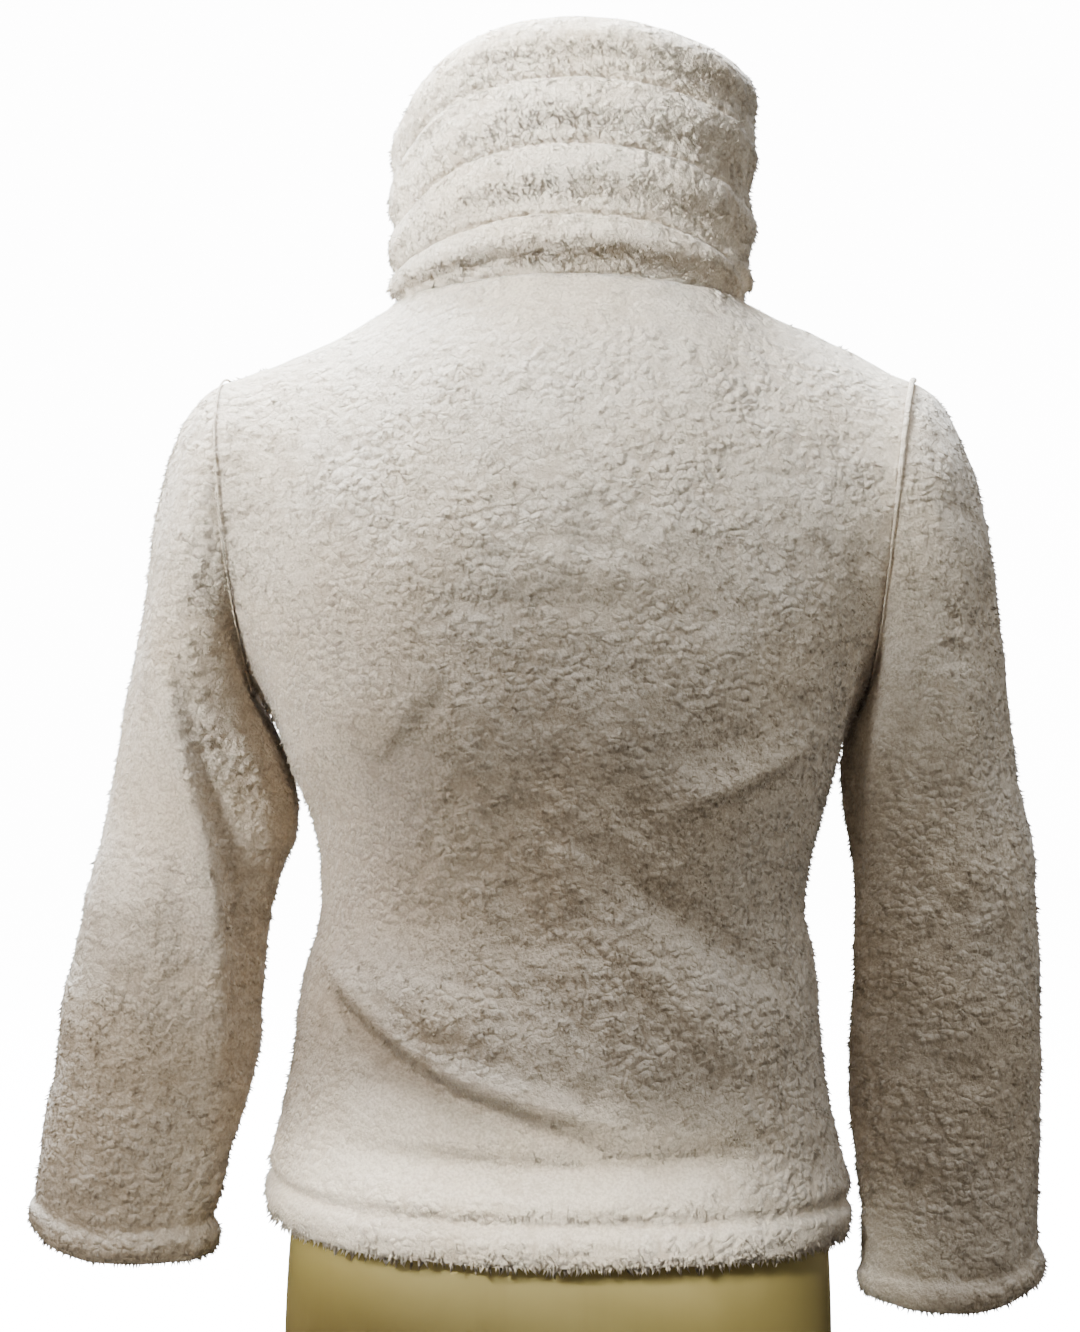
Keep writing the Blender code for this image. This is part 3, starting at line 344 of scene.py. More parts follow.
# soft folds as (places across and up, height, width), with troughs below 0
backFolds = [
    (
        [
            (0.137, 0.278), (0.126, 0.266), (0.104, 0.248), (0.069, 0.2245),
            (0.033, 0.211), (-0.002, 0.1995), (-0.032, 0.189),
        ],
        -0.0074,
        0.0052,
    ),
    (
        [(0.136, 0.289), (0.108, 0.265), (0.072, 0.2405), (0.034, 0.2265), (-0.002, 0.2145), (-0.028, 0.205)],
        0.0136,
        0.0086,
    ),
    ([(0.122, 0.226), (0.104, 0.227), (0.088, 0.230)], -0.0022, 0.0055),
    ([(0.016, 0.352), (-0.020, 0.318), (-0.048, 0.291), (-0.078, 0.262), (-0.110, 0.232)], 0.0056, 0.0150),
    ([(0.010, 0.375), (-0.020, 0.356), (-0.045, 0.335), (-0.074, 0.309), (-0.100, 0.281)], -0.0050, 0.0100),
    ([(-0.040, 0.350), (-0.072, 0.322), (-0.098, 0.300), (-0.140, 0.270)], -0.0034, 0.0080),
    ([(0.012, 0.312), (-0.020, 0.280), (-0.050, 0.250), (-0.084, 0.218)], 0.0034, 0.0200),
    ([(0.106, 0.282), (0.080, 0.264), (0.048, 0.250)], 0.0030, 0.0090),
    ([(-0.047, 0.374), (-0.082, 0.388), (-0.118, 0.401), (-0.162, 0.428)], 0.0032, 0.0056),
    ([(-0.060, 0.408), (-0.076, 0.413), (-0.104, 0.421)], -0.0026, 0.0036),
    ([(-0.062, 0.366), (-0.096, 0.381), (-0.130, 0.396), (-0.158, 0.410)], -0.0030, 0.0072),
    ([(0.073, 0.456), (0.092, 0.430), (0.114, 0.397)], 0.0028, 0.0070),
    ([(0.062, 0.452), (0.080, 0.428), (0.100, 0.398)], -0.0024, 0.0060),
    ([(0.009, 0.527), (-0.005, 0.531), (-0.038, 0.521), (-0.082, 0.517)], -0.0018, 0.0034),
    ([(0.059, 0.496), (0.034, 0.495), (0.006, 0.497), (-0.010, 0.499), (-0.027, 0.490)], -0.0017, 0.0034),
    ([(0.081, 0.512), (0.048, 0.518), (0.018, 0.530)], -0.0016, 0.0034),
    ([(-0.040, 0.484), (-0.064, 0.488), (-0.092, 0.482)], -0.0018, 0.0036),
    ([(0.029, 0.605), (0.009, 0.621)], -0.0020, 0.0050),
    ([(0.128, 0.508), (0.050, 0.515), (-0.060, 0.512), (-0.140, 0.500)], 0.0012, 0.0090),
    ([(0.120, 0.492), (0.010, 0.496), (-0.100, 0.490)], -0.0012, 0.0060),
    ([(0.122, 0.191), (0.060, 0.186), (0.005, 0.184), (-0.120, 0.190)], -0.0068, 0.0054),
    ([(0.150, 0.173), (0.060, 0.167), (-0.060, 0.168), (-0.150, 0.176)], 0.0026, 0.0090),
]
frontFolds = [
    ([(0.128, 0.294), (0.080, 0.256), (0.028, 0.240)], -0.0056, 0.0090),
    ([(0.128, 0.318), (0.080, 0.282), (0.036, 0.264)], 0.0044, 0.0120),
    ([(-0.128, 0.330), (-0.085, 0.278), (-0.032, 0.238)], -0.0056, 0.0085),
    ([(-0.124, 0.354), (-0.080, 0.300), (-0.036, 0.262)], 0.0044, 0.0125),
    ([(0.060, 0.457), (0.105, 0.431), (0.158, 0.405)], 0.0042, 0.0085),
    ([(0.070, 0.442), (0.110, 0.418), (0.150, 0.396)], -0.0038, 0.0070),
    ([(-0.055, 0.442), (-0.105, 0.426), (-0.158, 0.405)], 0.0042, 0.0080),
    ([(-0.066, 0.428), (-0.108, 0.412), (-0.150, 0.392)], -0.0036, 0.0070),
    ([(0.122, 0.192), (0.070, 0.187), (0.022, 0.185)], -0.0038, 0.0075),
    ([(-0.124, 0.196), (-0.075, 0.189), (-0.030, 0.187)], -0.0040, 0.0075),
]
sleeveFolds = {
    "left": [
        (
            [
                (0.236, 0.470), (0.227, 0.427), (0.218, 0.387), (0.209, 0.349),
                (0.205, 0.318), (0.203, 0.263), (0.212, 0.186),
            ],
            0.0078,
            0.0078,
        ),
        ([(0.212, 0.360), (0.207, 0.300), (0.206, 0.248), (0.199, 0.205)], 0.0050, 0.0056),
        ([(0.224, 0.455), (0.210, 0.395), (0.198, 0.340), (0.193, 0.270)], -0.0046, 0.0066),
        ([(0.245, 0.445), (0.236, 0.390), (0.228, 0.335), (0.228, 0.260)], -0.0036, 0.0085),
        ([(0.266, 0.310), (0.248, 0.300), (0.232, 0.302)], -0.0016, 0.0075),
        ([(0.250, 0.380), (0.268, 0.330), (0.276, 0.270)], -0.0022, 0.0090),
    ],
    "right": [
        ([(-0.203, 0.480), (-0.189, 0.405), (-0.180, 0.345)], 0.0052, 0.0080),
        ([(-0.214, 0.470), (-0.202, 0.400), (-0.194, 0.345)], -0.0030, 0.0080),
        ([(-0.222, 0.556), (-0.242, 0.552)], -0.0040, 0.0045),
        ([(-0.220, 0.492), (-0.240, 0.486), (-0.256, 0.491)], -0.0042, 0.0045),
        ([(-0.220, 0.473), (-0.238, 0.466), (-0.256, 0.471)], -0.0042, 0.0045),
        ([(-0.258, 0.540), (-0.262, 0.400), (-0.258, 0.250)], -0.0034, 0.0120),
        ([(-0.206, 0.332), (-0.236, 0.318), (-0.266, 0.326)], -0.0030, 0.0065),
        ([(-0.212, 0.232), (-0.240, 0.220), (-0.262, 0.227)], -0.0022, 0.0075),
    ],
}


def cleanCopy(name):
    # a CAD node's own points as a mesh of quads
    form = bmesh.new()
    form.from_mesh(nodes[name].data)
    bmesh.ops.remove_doubles(form, verts=form.verts, dist=0.00001)
    wide = {"angle_face_threshold": math.pi, "angle_shape_threshold": math.pi}
    bmesh.ops.join_triangles(form, faces=form.faces, **wide)
    return form


def splitWalls(form, node):
    # the faces of the outer wall get material 0, the inner wall 1 and the narrow faces between them 2
    corner = cloth["frontCorner"] if node.startswith("front") else cloth["corner"]
    form.normal_update()
    patches = []
    seen = set()
    for first in form.faces:
        if first in seen:
            continue
        seen.add(first)
        patch = [first]
        for face in patch:
            for edge in face.edges:
                if edge.calc_face_angle(0) > corner:
                    continue
                for other in edge.link_faces:
                    if other not in seen:
                        seen.add(other)
                        patch.append(other)
        patches.append(patch)
    patches.sort(key=lambda patch: -sum(face.calc_area() for face in patch))
    for number, patch in enumerate(patches):
        for face in patch:
            face.material_index = min(number, 2)


def creaseSeams(form, free):
    # free gives whether a place belongs to a hem or rim, which stays round
    layer = form.edges.layers.float.new("crease_edge")
    for edge in form.edges:
        walls = {face.material_index for face in edge.link_faces}
        if len(walls) > 1 and not free((edge.verts[0].co + edge.verts[1].co) / 2):
            edge[layer] = cloth["seamCrease"]


def applied(piece):
    # the piece with its modifiers made final
    graph = bpy.context.evaluated_depsgraph_get()
    mesh = bpy.data.meshes.new_from_object(piece.evaluated_get(graph))
    piece.modifiers.clear()
    piece.data = mesh
    return piece


def smoothed(piece, levels):
    smoothing = piece.modifiers.new("smoothing", "SUBSURF")
    smoothing.levels = smoothing.render_levels = levels
    return applied(piece)


def addPiece(name, form, material):
    mesh = bpy.data.meshes.new(name)
    form.to_mesh(mesh)
    form.free()
    piece = bpy.data.objects.new(name, mesh)
    scene.collection.objects.link(piece)
    mesh.materials.append(material)
    mesh.shade_smooth()
    return piece


def readPoints(mesh):
    values = np.zeros(len(mesh.vertices) * 3)
    mesh.vertices.foreach_get("co", values)
    return values.reshape(-1, 3)


def nearestOnPath(points, path):
    # the distance to a path and how far along it the nearest place is
    path = np.array(path, float)
    lengths = np.linalg.norm(np.diff(path, axis=0), axis=1)
    starts = np.concatenate([[0], np.cumsum(lengths)])
    best = np.full(len(points), 1e9)
    along = np.zeros(len(points))
    for index in range(len(lengths)):
        step = path[index + 1] - path[index]
        share = np.clip((points - path[index]) @ step / (step @ step), 0, 1)
        near = path[index] + share[:, None] * step
        distance = np.linalg.norm(points - near, axis=1)
        closer = distance < best
        best[closer] = distance[closer]
        along[closer] = (starts[index] + share * lengths[index])[closer] / starts[-1]
    return best, along


def smoothPath(path, steps=6):
    # a curve through the places of a path
    path = [np.array(place, float) for place in path]
    ends = [2 * path[0] - path[1]] + path + [2 * path[-1] - path[-2]]
    made = []
    for a, b, c, d in zip(ends, ends[1:], ends[2:], ends[3:]):
        for step in range(steps):
            t = step / steps
            square = (2 * a - 5 * b + 4 * c - d) * t**2
            made.append(0.5 * (2 * b + (c - a) * t + square + (3 * b - a - 3 * c + d) * t**3))
    return made + [path[-1]]


def ease(value):
    value = np.clip(value, 0, 1)
    return value * value * (3 - 2 * value)


def cloud(points, scale, seed):
    return np.array([noise.noise(Vector(point) * scale + Vector((seed, 0, 0))) for point in points])


def foldDepth(points, folds):
    flat = points[:, [0, 2]]
    total = np.zeros(len(points))
    end = cloth["foldEnd"]
    for path, depth, width in folds:
        distance, along = nearestOnPath(flat, smoothPath(path))
        lasting = np.sin(np.pi * np.clip(along, end, 1 - end)) ** 0.5
        total += cloth["foldShare"] * depth * np.exp(-((distance / width) ** 2)) * lasting
    return total


def setAttribute(mesh, name, values):
    attribute = mesh.attributes.new(name, "FLOAT", "POINT")
    attribute.data.foreach_set("value", values.astype(np.float32))


def wallDirections(mesh):
    # the way out of the cloth at each point, with masks of the points on the outer and the inner wall
    faces = np.zeros(len(mesh.polygons) * 4, int)
    mesh.polygons.foreach_get("vertices", faces)
    faces = faces.reshape(-1, 4)
    walls = np.zeros(len(mesh.polygons), int)
    mesh.polygons.foreach_get("material_index", walls)
    normals = np.zeros(len(mesh.polygons) * 3)
    mesh.polygons.foreach_get("normal", normals)
    normals = normals.reshape(-1, 3)
    directions = np.zeros((len(mesh.vertices), 3))
    masks = []
    for wall, sign in ((0, 1), (1, -1)):
        chosen = walls == wall
        own = np.zeros((len(mesh.vertices), 3))
        for corner in range(4):
            np.add.at(own, faces[chosen][:, corner], normals[chosen] * sign)
        mask = np.abs(own).sum(axis=1) > 0
        directions[mask] = own[mask]
        masks.append(mask)
    lengths = np.linalg.norm(directions, axis=1)
    return directions / np.maximum(lengths, 0.000001)[:, None], masks[0], masks[1] & ~masks[0]


def fillBetween(points, values, known):
    # values of the points between the walls, from the nearest known point of each wall
    rest = ~(known[0] | known[1])
    for mask in known:
        tree = KDTree(int(mask.sum()))
        for place in np.flatnonzero(mask):
            tree.insert(points[place], int(place))
        tree.balance()
        for place in np.flatnonzero(rest):
            values[place] += values[tree.find(points[place])[1]] / 2


calm = {"low": 0.45, "gap": 0.010, "rounds": 70}


def calmed(piece):
    # the upper back made even, away from its seams
    form = bmesh.new()
    form.from_mesh(piece.data)
    tree = KDTree(len(form.edges))
    for edge in form.edges:
        if len({face.material_index for face in edge.link_faces}) > 1:
            tree.insert(edge.verts[0].co, edge.index)
    tree.balance()
    chosen = [vert for vert in form.verts if vert.co.z > calm["low"] and tree.find(vert.co)[2] > calm["gap"]]
    every = {"use_axis_x": True, "use_axis_y": True, "use_axis_z": True}
    for _ in range(calm["rounds"]):
        bmesh.ops.smooth_vert(form, verts=chosen, factor=0.5, **every)
    form.to_mesh(piece.data)
    form.free()


def makeCloth(name, node, folds, free, shaping):
    # folds is a list of (side, folds), with 1 for the back and -1 for the front
    form = cleanCopy(node)
    splitWalls(form, node)
    creaseSeams(form, free)
    piece = addPiece(name, form, clothMaterial)
    piece.data.materials.append(backingMaterial)
    piece.data.materials.append(clothMaterial)
    smoothed(piece, cloth["smoothing"])
    if node == "back":
        calmed(piece)
    mesh = piece.data
    points = readPoints(mesh)
    directions, outer, inner = wallDirections(mesh)
    move = np.zeros(len(points))
    for side, listed in folds:
        move += foldDepth(points, listed) * ease(points[:, 1] * side / cloth["turnAway"])
    extra, length = shaping(points)
    move += extra
    surface = cloud(points, cloth["swellScale"], cloth["swellSeed"]) * cloth["swell"] - cloth["inset"]
    surface += cloud(points, cloth["lumpScale"], cloth["lumpSeed"]) * cloth["lump"]
    within = move * np.where(move < 0, cloth["innerShare"], 1)
    follow = np.minimum(within, move + surface + cloth["thinning"])
    amount = np.where(outer, move + surface, follow)
    shift = directions * (amount * (outer | inner))[:, None]
    fillBetween(points, shift, (outer, inner))
    points += shift
    mesh.vertices.foreach_set("co", points.ravel())
    mesh.update()
    rim = np.array([free(Vector(point)) for point in points])
    setAttribute(mesh, "pile", np.where(outer, 1.0, np.where(rim & ~inner, cloth["rimPile"], 0.0)))
    setAttribute(mesh, "pileLength", length)
    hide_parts(node)
    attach(piece, "jacket")
    print(name, len(mesh.polygons), "faces")
    return piece


# where the left sleeve and the body nearly touch, and swell towards each other
meet = {
    "height": 0.406,
    "reach": 0.022,
    "body": {"swell": 0.0007, "from": 0.13, "over": 0.02},
    "sleeve": {"swell": 0.0017, "from": 0.2, "over": 0.012},
}


def meetSwell(points, side, way):
    near = np.exp(-(((points[:, 2] - meet["height"]) / meet["reach"]) ** 2))
    row = meet[side]
    return row["swell"] * near * ease(way * (points[:, 0] - row["from"]) / row["over"])


hem = {
    "height": 0.130,
    "half": 0.172,  # half the width of the hem
    "leftRise": 0.003,
    "rightDrop": 0.014,
    "turnedUp": 0.136,  # the cloth below this height belongs to a hem or cuff
    "fold": 0.0245,
    "crease": 0.0024,
    "creaseWidth": 0.0026,
    "creasePile": 0.6,  # how much shorter the pile is over the stitches
    "band": 0.0034,
    "bandStart": 0.008,
    "bandTop": 0.056,
    "fringe": 0.006,
    "fringePile": 0.5,
}
zipEdge = {"middle": -0.004, "half": 0.013, "pile": 0.6}


def inHem(place):
    return place.z < hem["turnedUp"]


def hemShaping(points):
    share = np.arcsin(np.clip(points[:, 0] / hem["half"], -1, 1)) * 2 / np.pi
    edge = hem["height"] + hem["leftRise"] * np.maximum(share, 0)
    edge -= hem["rightDrop"] * np.maximum(-share, 0) ** 2
    above = points[:, 2] - edge
    crease = np.exp(-(((above - hem["fold"]) / hem["creaseWidth"]) ** 2))
    fromZip = np.abs(points[:, 0] - zipEdge["middle"]) / zipEdge["half"]
    nearZip = (points[:, 1] < 0) * np.exp(-(fromZip**4))
    # over the stitches the cloth stands out, and slopes back up to the fold above
    over = above - hem["fold"]
    band = ease(over / hem["bandStart"]) * (1 - ease(over / (hem["bandTop"] - hem["fold"])))
    fringe = np.exp(-((above / hem["fringe"]) ** 2)) * (1 - nearZip)
    length = 1 - hem["creasePile"] * crease - zipEdge["pile"] * nearZip + hem["fringePile"] * fringe
    return hem["band"] * band - hem["crease"] * crease + meetSwell(points, "body", 1), length


cuff = {
    "left": {"height": 0.103, "middle": 0.2665, "half": 0.0565},
    "right": {"height": 0.0735, "middle": -0.2397, "half": 0.0547},
    "rise": 0.015,  # how much higher the cuff's outer end is
    "fold": 0.021,
    "crease": 0.0011,
    "creaseWidth": 0.0030,
    "creasePile": 0.5,
}


def cuffShaping(hand):
    row = cuff[hand]

    def shaping(points):
        side = np.clip((points[:, 0] - row["middle"]) / row["half"], -1, 1)
        outer = side if hand == "left" else -side
        edge = row["height"] + cuff["rise"] * np.maximum(outer, 0) ** 2
        crease = np.exp(-(((points[:, 2] - edge - cuff["fold"]) / cuff["creaseWidth"]) ** 2))
        swelled = meetSwell(points, "sleeve", -1) * (hand == "left")
        return swelled - cuff["crease"] * crease, 1 - cuff["creasePile"] * crease

    return shaping


welt = {
    "thick": 0.0017,
    "thin": 0.0007,
    "low": 0.0005,
    "top": 0.60,
    "bottom": 0.50,
    "sink": 0.0002,
    "sides": 8,
    "lowest": 0.3,  # a sleeve's seams above this height are its armhole's
}


def headSeam(node):
    # the loop of a sleeve's armhole seam on its outer wall
    form = cleanCopy(node)
    splitWalls(form, node)
    chosen = []
    for edge in form.edges:
        high = min(vert.co.z for vert in edge.verts) > welt["lowest"]
        if high and sorted(face.material_index for face in edge.link_faces) == [0, 2]:
            chosen.append(edge)
    place = chosen[0].verts[0]
    loop = []
    while chosen:
        edge = next(edge for edge in chosen if place in edge.verts)
        chosen.remove(edge)
        loop.append(place.co.copy())
        place = edge.other_vert(place)
    form.free()
    return loop


def makeTube(name, places, radii, material):
    # a closed ring of soft cord through the places
    form = bmesh.new()
    rings = []
    sides = welt["sides"]
    middle = sum(places, Vector()) / len(places)
    for number, place in enumerate(places):
        along = (places[(number + 1) % len(places)] - places[number - 1]).normalized()
        side = along.cross(place - middle).normalized()
        up = side.cross(along)
        angles = [step * math.tau / sides for step in range(sides)]
        ring = [place + (side * math.cos(turn) + up * math.sin(turn)) * radii[number] for turn in angles]
        rings.append([form.verts.new(point) for point in ring])
    for number, ring in enumerate(rings):
        before = rings[number - 1]
        for step in range(sides):
            after = (step + 1) % sides
            form.faces.new((before[step], ring[step], ring[after], before[after]))
    bmesh.ops.recalc_face_normals(form, faces=form.faces)
    piece = addPiece(name, form, material)
    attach(piece, "jacket")
    return piece


def makeWelt(name, node, hand):
    # the raised seam round an armhole, which sinks into the pile towards the armpit
    loop = headSeam(node)
    places = [Vector(place) for place in smoothPath(loop + loop[:1], 4)[:-1]]
    radii = []
    for place in places:
        shown = hand == "right" and place.y > 0
        full = welt["thick"] if shown else welt["thin"]
        share = float(ease((place.z - welt["bottom"]) / (welt["top"] - welt["bottom"])))
        radii.append(welt["low"] + (full - welt["low"]) * share)
    middle = sum(places, Vector()) / len(places)
    places = [place + (middle - place).normalized() * welt["sink"] for place in places]
    return makeTube(name, places, radii, clothMaterial)


def makeSleeve(name, node, hand):
    folds = sleeveFolds[hand]
    return makeCloth(name, node, [(1, folds), (-1, folds)], inHem, cuffShaping(hand))


back = makeCloth("backPanel", "back", [(1, backFolds)], inHem, hemShaping)
frontLeft = makeCloth("frontPanelLeft", "front_left", [(-1, frontFolds)], inHem, hemShaping)
frontRight = makeCloth("frontPanelRight", "front_right", [(-1, frontFolds)], inHem, hemShaping)
sleeveLeft = makeSleeve("sleeveLeft", "sleeve_left", "left")
sleeveRight = makeSleeve("sleeveRight", "sleeve_right", "right")
welts = {
    "sleeveLeft": makeWelt("armholeSeamLeft", "sleeve_left", "left"),
    "sleeveRight": makeWelt("armholeSeamRight", "sleeve_right", "right"),
}

collar = {
    "middle": -0.0072,
    "halfWidth": 0.105,
    "halfDepth": 0.073,
    "seam": {"side": 0.682, "back": 0.6865, "front": 0.630},  # the height of the neck seam
    "rim": 0.745,  # the cloth above this height belongs to the rim
    "height": {"back": 0.1405, "left": 0.102, "right": 0.131, "front": 0.133},
    # the valleys between the rolls in the solid, and the lines that the photo shows, as shares of the height
    "valleys": [
        {"back": 0.208, "left": 0.110, "right": 0.120, "front": 0.170},
        {"back": 0.484, "left": 0.330, "right": 0.403, "front": 0.420},
        {"back": 0.735, "left": 0.605, "right": 0.745, "front": 0.690},
    ],
    "lines": [
        {"back": 0.212, "left": 0.130, "right": 0.040, "front": 0.160},
        {"back": 0.490, "left": 0.360, "right": 0.370, "front": 0.410},
        {"back": 0.745, "left": 0.700, "right": 0.670, "front": 0.680},
    ],
    "facing": 3.2,  # how quickly the back's and front's values give way to those of the sides
    "seamFacing": 2.5,
    "filling": 0.0034,  # how much of the valley between two rolls is filled
    "fillWidth": 0.0095,
    "lip": 0.0040,  # how far each roll's top stands over the one above
    "lipWidth": 0.0026,
    "crease": 0.0036,
    "creaseWidth": 0.0022,
    "creaseLift": 0.001,
    "creasePile": 0.5,
    "roll": 0.030,
    "sideShare": 0.4,  # how strong the lines are at the sides
    "sideFacing": 1.5,
    "zipFade": 0.016,
}


def inRim(place):
    return place.z > collar["rim"]


def roundValue(row, sideways, backwards):
    side = row["right"] + (row["left"] - row["right"]) * ease(0.5 + sideways / 2)
    end = np.where(backwards > 0, row["back"], row["front"])
    return side + (end - side) * np.abs(backwards) ** collar["facing"]


def collarShaping(points):
    across = points[:, 0] - collar["middle"]
    angle = np.arctan2(points[:, 1] / collar["halfDepth"] ** 2, across / collar["halfWidth"] ** 2)
    sideways, backwards = np.cos(angle), np.sin(angle)
    neck = collar["seam"]
    middle = np.where(backwards > 0, neck["back"], neck["front"])
    seam = neck["side"] + (middle - neck["side"]) * np.abs(backwards) ** collar["seamFacing"]
    move = np.zeros(len(points))
    nearZip = (points[:, 1] < 0) * np.exp(-((across / collar["zipFade"]) ** 4))
    length = 1 - zipEdge["pile"] * nearZip
    tall = roundValue(collar["height"], sideways, backwards)
    share = collar["sideShare"]
    strength = (share + (1 - share) * np.abs(backwards) ** collar["sideFacing"]) * (1 - nearZip)
    for valley, line in zip(collar["valleys"], collar["lines"]):
        above = points[:, 2] - seam - roundValue(valley, sideways, backwards) * tall
        move += collar["filling"] * np.exp(-((above / collar["fillWidth"]) ** 2)) * (1 - nearZip)
        below = seam + roundValue(line, sideways, backwards) * tall - points[:, 2]
        lip = ease(below / collar["lipWidth"]) * (1 - ease(below / collar["roll"]))
        crease = np.exp(-(((below + collar["creaseLift"]) / collar["creaseWidth"]) ** 2))
        move += (collar["lip"] * lip - collar["crease"] * crease) * strength
        length -= collar["creasePile"] * crease
    return move, length


collarPiece = makeCloth("collarPanel", "collar", [], inRim, collarShaping)

pile = {
    "length": 0.0038,
    "width": 0.0012,
    "root": (0, 0.0007, -0.0006),
    "widest": 0.4,  # where a lock is widest, as a share of its length
    "bend": 0.0011,  # how far its tip leans
    "density": 178000,
    "depth": 0.0010,  # how far under the cloth each lock starts
    "stand": 0.30,
    "lie": 0.50,
    "nap": (0, 0, -1),
    "clumping": 0.54,
    "clumpScale": 110,
    "shade": 0.26,
    "mess": 0.20,
    "sink": 0.0009,
    "shortest": 0.75,
    "longest": 1.2,
}


def makeTuft():
    # one closed lock of fibres: wide above its root, bent over and ending in a point
    form = bmesh.new()
    length, half = pile["length"], pile["width"] / 2
    widest = (0.0001, length * pile["widest"])
    for place in (pile["root"], (half, *widest), (-half, *widest), (0, pile["bend"], length)):
        form.verts.new(place)
    bmesh.ops.convex_hull(form, input=form.verts)
    bmesh.ops.recalc_face_normals(form, faces=form.faces)
    tuft = addPiece("tuft", form, pileMaterial)
    # tip runs from 0 at the root to 1 at the tip and sets the painted shade at the roots
    setAttribute(tuft.data, "tip", np.clip(readPoints(tuft.data)[:, 2] / length, 0, 1))
    return tuft


class Plan:  # a geometry node tree
    def __init__(self, name):
        self.tree = bpy.data.node_groups.new(name, "GeometryNodeTree")
        self.tree.interface.new_socket("Geometry", in_out="INPUT", socket_type="NodeSocketGeometry")
        self.tree.interface.new_socket("Geometry", in_out="OUTPUT", socket_type="NodeSocketGeometry")
        self.start = self.tree.nodes.new("NodeGroupInput").outputs[0]
        self.end = self.tree.nodes.new("NodeGroupOutput").inputs[0]

    def node(self, kind, settings=None, inputs=None):
        made = self.tree.nodes.new(kind)
        for field, value in (settings or {}).items():
            setattr(made, field, value)
        for socket, value in (inputs or {}).items():
            if isinstance(value, bpy.types.NodeSocket):
                self.tree.links.new(value, made.inputs[socket])
            else:
                made.inputs[socket].default_value = value
        return made.outputs

    def add(self, first, second):
        return self.node("ShaderNodeVectorMath", {"operation": "ADD"}, {0: first, 1: second})[0]

    def times(self, first, scale):
        return self.node("ShaderNodeVectorMath", {"operation": "SCALE"}, {0: first, 3: scale})[0]

    def named(self, name, kind="FLOAT"):
        return self.node("GeometryNodeInputNamedAttribute", {"data_type": kind}, {0: name})[0]

    def stored(self, geometry, name, value, kind="FLOAT"):
        settings = {"data_type": kind, "domain": "POINT"}
        inputs = {"Geometry": geometry, "Name": name, "Value": value}
        return self.node("GeometryNodeStoreNamedAttribute", settings, inputs)[0]

    def sum(self, operation, first, second):
        return self.node("ShaderNodeMath", {"operation": operation}, {0: first, 1: second})[0]

    def noise(self, place, scale, detail, twist):
        inputs = {"Vector": place, "Scale": scale, "Detail": detail, "Distortion": twist}
        return self.node("ShaderNodeTexNoise", None, inputs)[1]

    def randomVector(self, seed):
        inputs = {0: (-1.0, -1.0, -1.0), 1: (1.0, 1.0, 1.0), "Seed": seed}
        return self.node("FunctionNodeRandomValue", {"data_type": "FLOAT_VECTOR"}, inputs)[0]

    def randomValue(self, low, high, seed):
        inputs = {2: low, 3: high, "Seed": seed}
        return self.node("FunctionNodeRandomValue", {"data_type": "FLOAT"}, inputs)[1]


def planCrack(plan, place):
    # 0 in the cracks between clumps, at the places where the plush material has them too
    warp = plan.times(plan.noise(place, plush["warpScale"], 2.0, 0.0), plush["warp"])
    inputs = {0: plan.add(place, warp), 1: (1, 1, plush["clumpFlat"])}
    flat = plan.node("ShaderNodeVectorMath", {"operation": "MULTIPLY"}, inputs)[0]
    inputs = {"Vector": flat, "Scale": plush["clumpScale"]}
    far = plan.node("ShaderNodeTexVoronoi", {"feature": "F1"}, inputs)[0]
    inputs = {"Value": far, "From Min": plush["crackEnd"], "From Max": plush["crackStart"]}
    settings = {"interpolation_type": "SMOOTHSTEP"}
    return plan.node("ShaderNodeMapRange", settings, {**inputs, "To Min": 0.0, "To Max": 1.0})[0]


def planWay(plan, place, seed):
    # the way that each lock points: out of the cloth, down with the nap, and astray with its clump
    clump = plan.add(plan.noise(place, pile["clumpScale"], 1.0, 0.6), (-0.5, -0.5, -0.5))
    way = plan.times(plan.named("clothNormal", "FLOAT_VECTOR"), pile["stand"])
    way = plan.add(way, tuple(pile["lie"] * part for part in pile["nap"]))
    way = plan.add(way, plan.times(clump, pile["clumping"] * 2))
    way = plan.add(way, plan.times(plan.randomVector(seed), pile["mess"]))
    return plan.node("FunctionNodeAlignRotationToVector", {"axis": "Z"}, {"Vector": way})[0]


